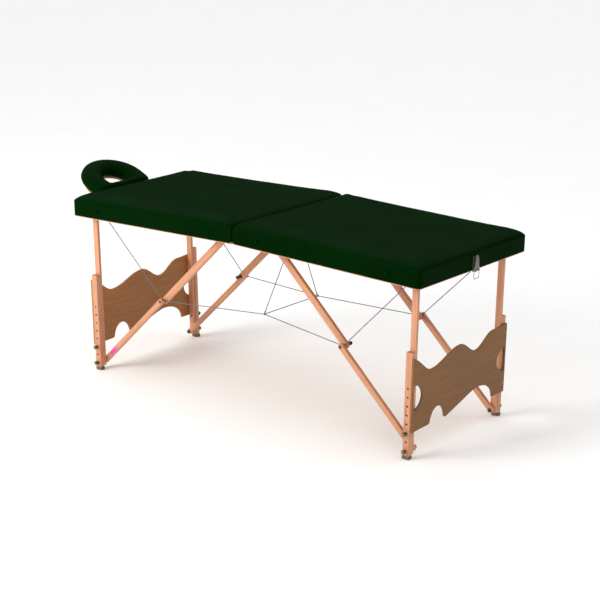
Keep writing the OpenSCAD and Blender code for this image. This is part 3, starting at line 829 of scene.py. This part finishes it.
def build_platform(up, out, middle_reach, reach, half_w):
    """Plywood ring under the cushion, tucked in from its edge, with a wide hole."""
    points = [v.co.dot(up) for v in NODES["headrest_platform"].data.vertices]
    low, high = min(points), max(points)
    tuck, ease = PLATFORM_TUCK, 1.5 * MM
    outer = rest_loop(reach - tuck, half_w - tuck, REST_NEAR - tuck * 0.8, 30 * MM)
    inner = face_loop(outer, *PLATFORM_HOLE)
    rings = []
    for level, loop, shift in (
        (low + ease, outer, 0), (high - ease, outer, 0), (high, outer, ease),
        (high, inner, -ease), (high - ease, inner, 0), (low + ease, inner, 0), (low, inner, -ease),
        (low, outer, ease), (low + ease, outer, 0),
    ):
        ring = []
        for a, y in loop:
            share = 1 - shift / hypot(a, y)
            ring.append(out * (middle_reach + a * share) + Vector((0, y * share, 0)) + up * level)
        rings.append(ring)
    board = Shape().loops(rings, caps=False)
    board.made("headrest_ring_board", "headrest_top", "panel", "left_panel", "headrest_platform")


def build_cushion_seam(cushion, up, out, centre, outline):
    """A piped seam round the cushion's outer side, laid on its finished surface."""
    tree = BVHTree.FromObject(cushion, bpy.context.evaluated_depsgraph_get())
    level = -6 * MM
    path = []
    middle = centre + up * level
    loop = [middle + out * a + Vector((0, y, 0)) for a, y in outline]
    dense = [p.lerp(q, k / 4) for p, q in zip(loop, loop[1:] + loop[:1]) for k in range(4)]
    for p in dense:
        way = (middle - p).normalized()
        hit = tree.ray_cast(p - way * 0.08, way)
        if hit[0] is not None:
            path.append(hit[0] + way * 0.9 * MM)
    Shape().tube(path, 2.0 * MM, 10, closed=True).made("headrest_piping", "headrest_top", "vinyl", "button")
    thread = Shape()
    stitches(thread, path, up, 4.4 * MM, 5 * MM, tree, middle)
    thread.made("headrest_stitches", "headrest_top", "vinyl", "thread")


def stitches(shape, path, up, drop, pitch, tree, middle):
    """Short stitches beside a seam, on the surface that the tree holds."""
    gone = 0.0
    for p, q in zip(path, path[1:] + path[:1]):
        gone += (q - p).length
        if gone < pitch:
            continue
        gone = 0.0
        way = (q - p).normalized()
        for sign in (1, -1):
            near = p + up * drop * sign
            inward = (middle - near).normalized()
            hit = tree.ray_cast(near - inward * 0.02, inward)
            if hit[0] is None:
                continue
            at = hit[0] + hit[1] * 0.25 * MM
            shape.tube([at - way * 1.4 * MM, at, at + way * 1.4 * MM], 0.45 * MM, 6)


# ---- frame details ----


def build_braces(half, kind):
    """Round-ended wooden links with well eased edges, and a domed nut over each pivot."""
    node = f"{half.name}_{kind}_braces"
    wood, nuts = Shape(), Shape()
    ease, steps, arc = 4.5 * MM, 4, 12
    dome = mm((-0.5, 7.5), (0.4, 7.5), (0.5, 5.4), (1.1, 5), (1.6, 3.6), (1.9, 1.6), (2, 0.2))
    for solid in solids_of(node):
        plan = [half.plan(p) for p in solid]
        middle, low, high = middle_of(plan)
        # The link's radius and direction settle together
        r = 0.0
        for _ in range(8):
            start = Vector((low.x + r, 0, high.z - r))
            end = Vector((high.x - r, 0, low.z + r))
            way = (end - start).normalized()
            side = Vector((-way.z, 0, way.x))
            reach = [p.dot(side) for p in plan]
            r = (max(reach) - min(reach)) / 2
        eased = [pi / 2 * j / steps for j in range(steps + 1)]
        levels = [(low.y + ease * (1 - cos(a)), ease * (1 - sin(a))) for a in eased]
        levels += [(low.y + high.y - y, inset) for y, inset in reversed(levels)]
        rings = []
        for y, inset in levels:
            ring = []
            for centre, turn in ((end, 0), (start, pi)):
                for j in range(arc + 1):
                    a = turn - pi / 2 + pi * j / arc
                    p = centre + (way * cos(a) + side * sin(a)) * (r - inset)
                    ring.append(half.at(p.x, y, p.z))
            rings.append(ring)
        wood.loops(rings)
        out = 1 if middle.y > 0 else -1
        sign = out if kind == "lower" else -out
        face = high.y if sign > 0 else low.y
        for centre in (start, end):
            nuts.lathe(half.at(centre.x, face, centre.z), (0, sign, 0), dome)
    body = f"{half.name}_{kind}_brace"
    wood.made(body + "_links", body, "beech", half.name + "_brace", node)
    nuts.made(body + "_nuts", body, "steel", "dark_bolt")


def build_buttons(half):
    """Domed vinyl-covered feet with a rim, on one long side."""
    shape = Shape()
    rim = 2.4 * MM
    for solid in solids_of(half.name + "_bumpers"):
        middle, low, high = middle_of(solid)
        r = (high.x - low.x) / 2
        start = Vector((middle.x, high.y + 0.3 * MM, middle.z))
        profile = [(0, r * 0.96), (0.8 * MM, r), (1.8 * MM, r * 0.97), (2.2 * MM, r * 0.86)]
        for j in range(9):
            a = radians(90 * j / 8)
            profile.append((rim + (high.y - low.y - rim) * sin(a), max(r * 0.82 * cos(a), 0.15 * MM)))
        shape.lathe(start, (0, -1, 0), profile, 36)
    node = half.name + "_bumpers"
    shape.made(half.name + "_buttons", half.name + "_half", "bumper", "button", node)


def solids_of(node):
    """The separate solids of a node, each as a list of points."""
    bm = bmesh.new()
    bm.from_mesh(NODES[node].data)
    bmesh.ops.remove_doubles(bm, verts=bm.verts, dist=1e-6)
    left, groups = set(bm.verts), []
    while left:
        stack, group = [left.pop()], []
        while stack:
            v = stack.pop()
            group.append(v.co.copy())
            for e in v.link_edges:
                other = e.other_vert(v)
                if other in left:
                    left.remove(other)
                    stack.append(other)
        groups.append(group)
    bm.free()
    means = [(round(sum(p.y for p in g) / len(g), 3), sum(p.x for p in g) / len(g)) for g in groups]
    return [groups[i] for i in sorted(range(len(groups)), key=lambda i: means[i])]


def knob_flute(a, along):
    return 1 - 0.1 * (1 - cos(6 * a)) / 2 * smooth_step((along - 6 * MM) / (3 * MM))


def build_knobs(half):
    """Fluted clamping knobs with brass ends, on the outside of the legs."""
    body, caps = Shape(), Shape()
    for solid in solids_of(half.name + "_height_knobs"):
        middle, low, high = middle_of(solid)
        out = 1 if middle.y > 0 else -1
        start = Vector((middle.x, low.y if out > 0 else high.y, middle.z))
        way = Vector((0, out, 0))
        tall, r = high.y - low.y, (high.z - low.z) / 2
        foot = ((0, 0.62), (0.6, 0.68), (4.5, 0.68), (6.5, 0.72), (8, 0.93), (9, 0.99))
        crown = ((4.5, 1), (2.4, 0.97), (1, 0.86), (0.6, 0.62), (1.2, 0.56), (1.4, 0.1))
        profile = [(up * MM, r * k) for up, k in foot] + [(tall - down * MM, r * k) for down, k in crown]
        body.lathe(start, way, profile, 48, knob_flute)
        cap = [(0, r * 0.5), (0.7 * MM, r * 0.5), (1.1 * MM, r * 0.44), (1.3 * MM, r * 0.1)]
        caps.lathe(start + way * (tall - 1.45 * MM), way, cap)
    legs = half.name + "_legs"
    body.made(half.name + "_knobs", legs, "knob", "knob", half.name + "_height_knobs")
    caps.made(half.name + "_knob_caps", legs, "brass", "brass")


def cross_screw(shape, at, way, r, levels=9, sides=32):
    """A domed screw head with a cross recess."""
    way = Vector(way).normalized()
    across = way.orthogonal().normalized()
    up = way.cross(across)
    rings = [circle(at, across, up, r, sides)]
    for i in range(levels):
        share = 1 - i / levels
        ring = []
        for j in range(sides):
            a = 2 * pi * j / sides
            x, y = share * cos(a), share * sin(a)
            rise = 0.42 * r * sqrt(max(0.0, 1 - 0.9 * share * share))
            if min(abs(x), abs(y)) < 0.17 and max(abs(x), abs(y)) < 0.62:
                rise -= 0.3 * r
            ring.append(at + (across * x + up * y) * r + way * rise)
        rings.append(ring)
    shape.loops(rings)


def build_screws(half):
    """Cross-head screws that hold the end panel to the legs."""
    shape, node = Shape(), half.name + "_panel_screws"
    panel_face = half.box(half.name + "_end_panel")[1].x
    for solid in solids_of(node):
        middle, low, high = middle_of([half.plan(p) for p in solid])
        cross_screw(shape, half.at(panel_face, middle.y, middle.z), half.way(1, 0), (high.y - low.y) / 2)
    shape.made(node[:-1] + "_heads", half.name + "_legs", "brass", "brass", node)


def build_hinge_screws(count=14):
    """Small screws along both leaves of the piano hinge."""
    for half in HALVES:
        low, high = half.box(half.name + "_hinge_leaf")
        shape = Shape()
        for i in range(count):
            y = low.y + (high.y - low.y) * (i + 0.5) / count
            cross_screw(shape, half.at(16 * MM, y, low.z), -half.way(0, 1), 2.6 * MM)
        shape.made(half.name + "_hinge_screws", half.name + "_half", "brass", "brass")


def build_strap(half):
    """Webbing carrying handle, screwed down at both ends, on the far long side."""
    low, high = half.box(half.name + "_handle")
    wide, thick, foot, steps = high.z - low.z, 2.4 * MM, 24 * MM, 72
    seat = low.y + 0.4 * MM
    rings = []
    for i in range(steps + 1):
        s = low.x + (high.x - low.x) * i / steps
        rise = smooth_step((s - low.x - foot) / foot) * smooth_step((high.x - foot - s) / foot)
        lift = seat + (high.y - low.y - thick - 0.6 * MM) * rise
        section = ((0, 0.3), (0.03, 0), (0.97, 0), (1, 0.3), (1, 0.7), (0.97, 1), (0.03, 1), (0, 0.7))
        rings.append([half.at(s, lift + thick * v, low.z + wide * u) for u, v in section])
    name, body = half.name + "_strap", half.name + "_half"
    Shape().loops(rings).made(name, body, "strap", name, half.name + "_handle")
    thread, heads = Shape(), Shape()
    top, margin = seat + thick, 2.5 * MM
    for end, inward in ((low.x, 1), (high.x, -1)):
        cross_screw(heads, half.at(end + inward * foot / 2, top, (low.z + high.z) / 2), (0, 1, 0), 4.5 * MM)
        s_in, s_out = end + inward * margin, end + inward * (foot - margin)
        n_low, n_high = low.z + margin, high.z - margin
        box = [Vector(c) for c in ((s_in, n_low), (s_out, n_low), (s_out, n_high), (s_in, n_high))]
        for c0, c1 in zip(box, box[1:] + box[:1]):
            count = max(3, int((c1 - c0).length / (3 * MM)))
            for k in range(count):
                p, q = (half.at(c.x, top + 0.1 * MM, c.y)
                        for c in (c0.lerp(c1, (k + 0.15) / count), c0.lerp(c1, (k + 0.75) / count)))
                thread.tube([p, (p + q) / 2, q], 0.4 * MM, 6)
    thread.made(name + "_stitches", body, "strap", "strap_thread")
    heads.made(name + "_screws", body, "steel", "steel")


# ---- latch ----


def bullet(wide, low, high, inset, steps=12):
    """The lever's outline in (y, n): straight sides and a pointed round top."""
    half_w = wide / 2 - inset
    top = high - inset * 1.2
    shoulder = low + (high - low) * 0.42
    points = [(-half_w * 0.86, low + inset), (half_w * 0.86, low + inset), (half_w, low + inset + 3 * MM)]
    for j in range(steps + 1):
        a = radians(90 * j / steps)
        points.append((half_w * cos(a) ** 0.9 if j < steps else 0.0, shoulder + (top - shoulder) * sin(a)))
    mirrored = [(-y, n) for y, n in reversed(points[3:-1])]
    return points + mirrored + [(-half_w, low + inset + 3 * MM)]


def build_latch():
    """Stamped lever with a rivet, and a bent wire loop."""
    low, high = RIGHT.box("latch_lever")
    half_w, pin_s, pin_n = LATCH_W / 2, *LATCH_PIVOT
    back, front = low.x + 0.6 * MM, high.x - 1.5 * MM
    levels = [(back, 0.6), (back + 1 * MM, 0), (front - 1.4 * MM, 0), (front - 0.4 * MM, 0.5)]
    levels += [(front, 1.6), (front - 0.1 * MM, 3.0), (front - 0.9 * MM, 4.2), (front - 1.0 * MM, 6.0)]
    lever = Shape().loops(
        [[RIGHT.at(s, y, n) for y, n in bullet(LATCH_W, 0.0, high.z, inset * MM)] for s, inset in levels]
    )
    barrel = [(0, 0.9), (0.5 * MM, 1), (LATCH_W - 0.5 * MM, 1), (LATCH_W, 0.9)]
    lever.lathe(RIGHT.at(pin_s, -half_w, pin_n), (0, 1, 0), [(y, LATCH_PIN_R * k) for y, k in barrel])
    lever.made("latch_lever_plate", "latch_lever", "steel", "latch", "latch_lever")
    rivet = mm((0, 3.6), (0.5, 3.6), (1.2, 3), (1.7, 1.8), (1.9, 0.3))
    made = Shape().lathe(RIGHT.at(front - 1.1 * MM, 0, RIVET_N), RIGHT.way(1, 0), rivet)
    made.made("latch_rivet", "latch_lever", "brass", "copper")
    ends = Shape()
    for sign in (-1, 1):
        at = RIGHT.at(pin_s, sign * (half_w - 1 * MM), pin_n)
        ends.lathe(at, (0, sign, 0), mm((0, 1.5), (3.1, 1.5)), 16)
    ends.made("latch_pivot_pin", "latch_lever", "steel", "steel")
    low, high = RIGHT.box("latch_loop")
    out, bottom, top = high.y - WIRE_R, low.z + WIRE_R, high.z - WIRE_R
    bend, tight, end_y = 6 * MM, 4.8 * MM, 9 * MM
    path = [(-end_y, top), (-out + tight, top)]
    for side, edge, start, r in (
        (-1, top, 90, tight), (-1, bottom, 180, bend), (1, bottom, 270, bend), (1, top, 0, tight)
    ):
        inward = -1 if edge == top else 1
        for j in range(9):
            a = radians(start + 90 * j / 8)
            path.append((side * (out - r) + r * cos(a), edge + inward * r + r * sin(a)))
    path.append((end_y, top))
    loop = Shape().tube([RIGHT.at((low.x + high.x) / 2, y, n) for y, n in path], WIRE_R, 16)
    loop.made("latch_wire_loop", "latch_loop", "steel", "steel", "latch_loop")
    for half, name, proud, places, r in (
        (RIGHT, "latch_base", 2, ((15.4, 30), (15.4, 52)), 1.9),
        (LEFT, "latch_keeper", 1.8, ((12, 38),), 2.4),
    ):
        heads, face = Shape(), half.box(name)[0].x + proud * MM
        for sign in (-1, 1):
            for y, n in mm(*places):
                cross_screw(heads, half.at(face, sign * y, n), half.way(1, 0), r * MM)
        heads.made(name + "_screws", half.name + "_half", "steel", "steel")


# ---- cables ----


def straight(a, b, short_a, short_b, pitch=2.6 * MM):
    way = (b - a).normalized()
    a, b = a + way * short_a, b - way * short_b
    count = max(2, int((b - a).length / pitch))
    return [a.lerp(b, i / count) for i in range(count + 1)]


def rope(shape, path):
    shape.tube(path, CABLE_R, 18, 2 * pi / CABLE_LAY, 6)


def ferrule(shape, at, way, length=11 * MM):
    """A pressed oval sleeve on the cable, next to its loop."""
    r = CABLE_R * 1.75
    places = [0, 0.7 * MM, length * 0.46, length * 0.5, length * 0.54, length - 0.7 * MM, length]
    shape.lathe(at, way, [(p, r * k) for p, k in zip(places, (0.75, 1, 1, 0.9, 1, 1, 0.75))], 20)


def pin_ring(shape, at, toward, n_seg=28):
    """A loop of cable round a pin that lies across the table, drawn out towards its sleeve."""
    toward = Vector((toward.x, 0, toward.z)).normalized()
    side = Vector((0, 1, 0)).cross(toward)
    path = []
    for i in range(n_seg):
        a = 2 * pi * i / n_seg
        stretch = 1 + 0.28 * max(0.0, cos(a)) ** 3
        path.append(at + toward * (RING_R * stretch * cos(a)) + side * (RING_R * sin(a)))
    shape.tube(path, CABLE_R, 12, closed=True)


def cable_points(half):
    """Places of the pins that hold the cables, on both long sides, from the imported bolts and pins."""
    def aside(kind):
        return [abs(v.co.y) for v in NODES[half.name + kind].data.vertices]

    leg_lane = max(aside("_cables")) - CABLE_R
    knee_lane = (max(aside("_upper_braces")) + min(aside("_lower_braces"))) / 2 + KNEE_RING_OFF
    bolts = [middle_of(b)[0] for b in solids_of(half.name + "_pivot_bolts")]
    pins = [middle_of(b)[0] for b in solids_of(half.name + "_knee_pins")]
    found = []
    for sign in (-1, 1):
        leg = max((b for b in bolts if b.y * sign > 0), key=lambda b: abs(b.x - HINGE_X))
        pin = next(p for p in pins if p.y * sign > 0)
        found.append((Vector((leg.x, sign * leg_lane, leg.z)), Vector((pin.x, sign * knee_lane, pin.z))))
    return found


def centre_points():
    """The two clips of the centre cables and the eye under the frame."""
    middle, low, high = middle_of([v.co for v in NODES["centre_cables"].data.vertices])
    reach = (high.y - low.y) / 2 - CLIP_R
    eye = middle_of([v.co for v in NODES["centre_cables"].data.vertices if v.co.z > high.z - 1 * MM])[0]
    eye.z = high.z - 4 * MM
    return [Vector((HINGE_X, middle.y + sign * reach, low.z + CLIP_R)) for sign in (-1, 1)], eye


def build_cables():
    clips, eye = centre_points()
    start_off, pin_off = 2 * MM, RING_R + 2 * MM
    for half in HALVES:
        side, body = half.name, half.name + "_half"
        legs, centre, leg_rings, knee_rings = Shape(), Shape(), Shape(), Shape()
        found = cable_points(half)
        for (leg_pin, knee_pin), clip in zip(found, clips):
            down, inward = (knee_pin - leg_pin).normalized(), (clip - knee_pin).normalized()
            rope(legs, straight(leg_pin, knee_pin, RING_R + 3 * MM, RING_R))
            rope(centre, straight(clip, knee_pin, start_off, RING_R + 3 * MM))
            for rings, pin, way in ((leg_rings, leg_pin, down), (knee_rings, knee_pin, inward)):
                pin_ring(rings, pin, way)
                ferrule(rings, pin + way * pin_off, way)
        leg_rings.made(side + "_leg_cable_rings", body, "cable", "cable")
        knee_rings.made(side + "_knee_cable_rings", side + "_upper_brace", "cable", "cable")
        leg_cables = legs.made(side + "_leg_cables", body, "cable", "cable", side + "_cables")
        centre_cables = centre.made(side + "_centre_cables", None, "cable", "cable")
        # How far the knee moves when folded is worked out here, but no cable is moved by it
        leg_pin, knee_pin = found[0]
        bolts = [middle_of(b)[0] for b in solids_of(side + "_pivot_bolts")]
        a, b = half.plan(leg_pin), half.plan(knee_pin)
        c = half.plan(min(bolts, key=lambda p: abs(p.x - HINGE_X)))
        move = Vector((c.x + hypot(b.x - c.x, b.z - c.z) - b.x, 0, c.z - b.z))
        axis = move.normalized()
        half.way(axis.x, axis.z)
        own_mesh(leg_cables)
        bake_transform(centre_cables)
    build_centre_cables(clips, eye)


def build_centre_cables(clips, eye):
    stays, sleeves, hook, slack = Shape(), Shape(), Shape(), Shape()
    rope(stays, straight(*clips, 2 * MM, 2 * MM))
    profile = [(0, CLIP_R * 0.8), (0.8 * MM, CLIP_R), (9.2 * MM, CLIP_R), (10 * MM, CLIP_R * 0.8)]
    # A short length of slack cable runs across each clip
    reach, steps = Vector((3.6 * MM, 0, 0)), 90
    for clip in clips:
        way = (eye - clip).normalized()
        rope(stays, straight(clip, eye, 2 * MM, 6 * MM))
        sleeves.lathe(clip - Vector((0, 5 * MM, 0)), (0, 1, 0), profile, 28)
        ferrule(sleeves, clip + way * CLIP_R, way)
        slack.tube([clip + reach * (2 * i / steps - 1) for i in range(steps + 1)], CABLE_R * 0.95, 12)
    stays.made("centre_stay_cables", "left_half", "cable", "cable", "centre_cables")
    sleeves.made("centre_cable_clips", "left_half", "cable", "steel")
    across, up = Vector((0, 1, 0)), Vector((0, 0, 1))
    hook.tube(circle(eye - up * 2.2 * MM, across, up, 5 * MM, 24), 1.6 * MM, 12, closed=True)
    hook.lathe(eye + up * MM, up, mm((0, 2.2), (3, 2.2)), 20)
    hook.made("cable_eye", "left_half", "steel", "steel")
    obj = slack.made("slack_cables", None, "cable", "cable")
    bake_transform(obj)


# ---- sticker ----


def build_sticker():
    """A plain pink label low on the front left brace."""
    plan = [LEFT.plan(p) for p in solids_of("left_lower_braces")[0]]
    low, high = corners(plan)
    knee, foot = Vector((low.x, 0, high.z)), Vector((high.x, 0, low.z))
    way = (foot - knee).normalized()
    up = Vector((-way.z, 0, way.x))
    at = foot - way * 98 * MM
    long_half, wide_half, thick, r = 24 * MM, 8 * MM, 0.35 * MM, 2.5 * MM
    rings = []
    for lift, shrink in ((0.0, 0.0), (thick, 0.0), (thick * 1.3, 0.5 * MM)):
        loop = []
        for cs, cn, start in ((1, 1, 0), (-1, 1, 90), (-1, -1, 180), (1, -1, 270)):
            corner = at + way * cs * (long_half - shrink - r) + up * cn * (wide_half - shrink - r)
            for j in range(5):
                a = radians(start + 90 * j / 4)
                p = corner + (way * cos(a) + up * sin(a)) * r
                loop.append(LEFT.at(p.x, low.y - lift, p.z))
        rings.append(loop)
    Shape().loops(rings).made("brace_label", "left_lower_brace", "panel", "sticker")


# ---- everything ----


def dress_cad():
    """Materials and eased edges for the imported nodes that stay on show."""
    for half in HALVES:
        h = half.name
        woods = {
            "side_rails": ("long", 1.5), "end_rail": ("cross", 1.5), "centre_rail": ("cross", 1.5),
            "pivot_blocks": ("long", 1.2), "upper_legs": ("leg", 3.0), "leg_extensions": ("leg", 2.2),
        }
        for node, (run, ease) in woods.items():
            soften_cad(f"{h}_{node}", f"{h}_{run}", ease)
        for node, material, ease, segments in (
            ("end_panel", h + "_panel", 1.6, 3), ("deck", h + "_deck", 0.5, 1),
            ("rubber_feet", "rubber", 2.5, 3), ("pivot_bolts", "steel", 0.6, 2),
            ("height_bolts", "dark_bolt", 0.6, 2), ("knee_pins", "dark_bolt", 0.8, 2),
            ("knee_bushes", "dark_bolt", 0.6, 2), ("hinge_leaf", "brass", 0.2, 1),
        ):
            soften_cad(f"{h}_{node}", material, ease, segments)
    for node, material, ease, segments in (
        ("hinge_pin", "steel", 0.3, 1), ("latch_base", "latch", 0.4, 2), ("latch_keeper", "latch", 0.4, 2),
        ("headrest_posts", "steel", 0.8, 2), ("headrest_bar", "left_cross", 2.5, 3),
        ("headrest_lugs", "steel", 0.5, 2), ("headrest_pivot", "steel", 0.6, 2),
        ("headrest_lever", "dark_plastic", 2.0, 3),
    ):
        soften_cad(node, material, ease, segments)


def build_stage():
    bpy.ops.mesh.primitive_plane_add(size=60, location=(0, 0, 0))
    floor = bpy.context.active_object
    floor.name = "floor"
    floor.data.materials.append(floor_material())


def area_light(name, at, size, power, tint=(1, 1, 1)):
    data = bpy.data.lights.new(name, "AREA")
    data.shape = "RECTANGLE"
    data.size, data.size_y = size
    data.energy = power
    data.color = tint
    light = bpy.data.objects.new(name, data)
    bpy.context.scene.collection.objects.link(light)
    light.location = at
    light.rotation_euler = (Vector((HINGE_X, 0, 0.5)) - light.location).to_track_quat("-Z", "Y").to_euler()


def build_lights():
    world = bpy.data.worlds.new("studio")
    bpy.context.scene.world = world
    world.use_nodes = True
    tree = world.node_tree
    way = tree.nodes.new("ShaderNodeTexCoord")
    split = tree.nodes.new("ShaderNodeSeparateXYZ")
    tree.links.new(way.outputs["Generated"], split.inputs[0])
    ramp = tree.nodes.new("ShaderNodeValToRGB")
    ramp.color_ramp.elements[0].position = 0.3
    ramp.color_ramp.elements[0].color = (*LOW_SKY, 1)
    ramp.color_ramp.elements[1].position = 0.62
    ramp.color_ramp.elements[1].color = (1, 1, 1, 1)
    tree.links.new(split.outputs["Z"], ramp.inputs["Fac"])
    tree.links.new(ramp.outputs["Color"], tree.nodes["Background"].inputs["Color"])
    tree.nodes["Background"].inputs["Strength"].default_value = SKY_STRENGTH
    area_light("key", (-2.6, -5.0, 3.0), (3.0, 2.0), KEY_POWER, (1.0, 0.98, 0.95))
    area_light("fill", (4.5, -3.5, 3.2), (2.5, 2.5), 12)
    scene = bpy.context.scene
    scene.view_settings.view_transform = "Standard"
    scene.view_settings.look = "None"


def build_camera():
    data = bpy.data.cameras.new("camera")
    data.lens = CAMERA_LENS
    data.sensor_width = 36
    camera = bpy.data.objects.new("camera", data)
    bpy.context.scene.collection.objects.link(camera)
    camera.location = Vector((HINGE_X, 0, 0)) + CAMERA_FROM_HINGE
    a, e = radians(CAMERA_AZIMUTH), radians(CAMERA_ELEVATION)
    back = Vector((sin(a) * cos(e), -cos(a) * cos(e), sin(e)))
    camera.rotation_euler = (-back).to_track_quat("-Z", "Y").to_euler()
    bpy.context.scene.camera = camera


build_camera()
build_stage()
build_lights()
dress_cad()
build_upholstery()
build_headrest_cushion()
for each in HALVES:
    build_braces(each, "upper")
    build_braces(each, "lower")
    build_buttons(each)
    build_knobs(each)
    build_screws(each)
    build_strap(each)
build_hinge_screws()
build_latch()
build_cables()
build_sticker()
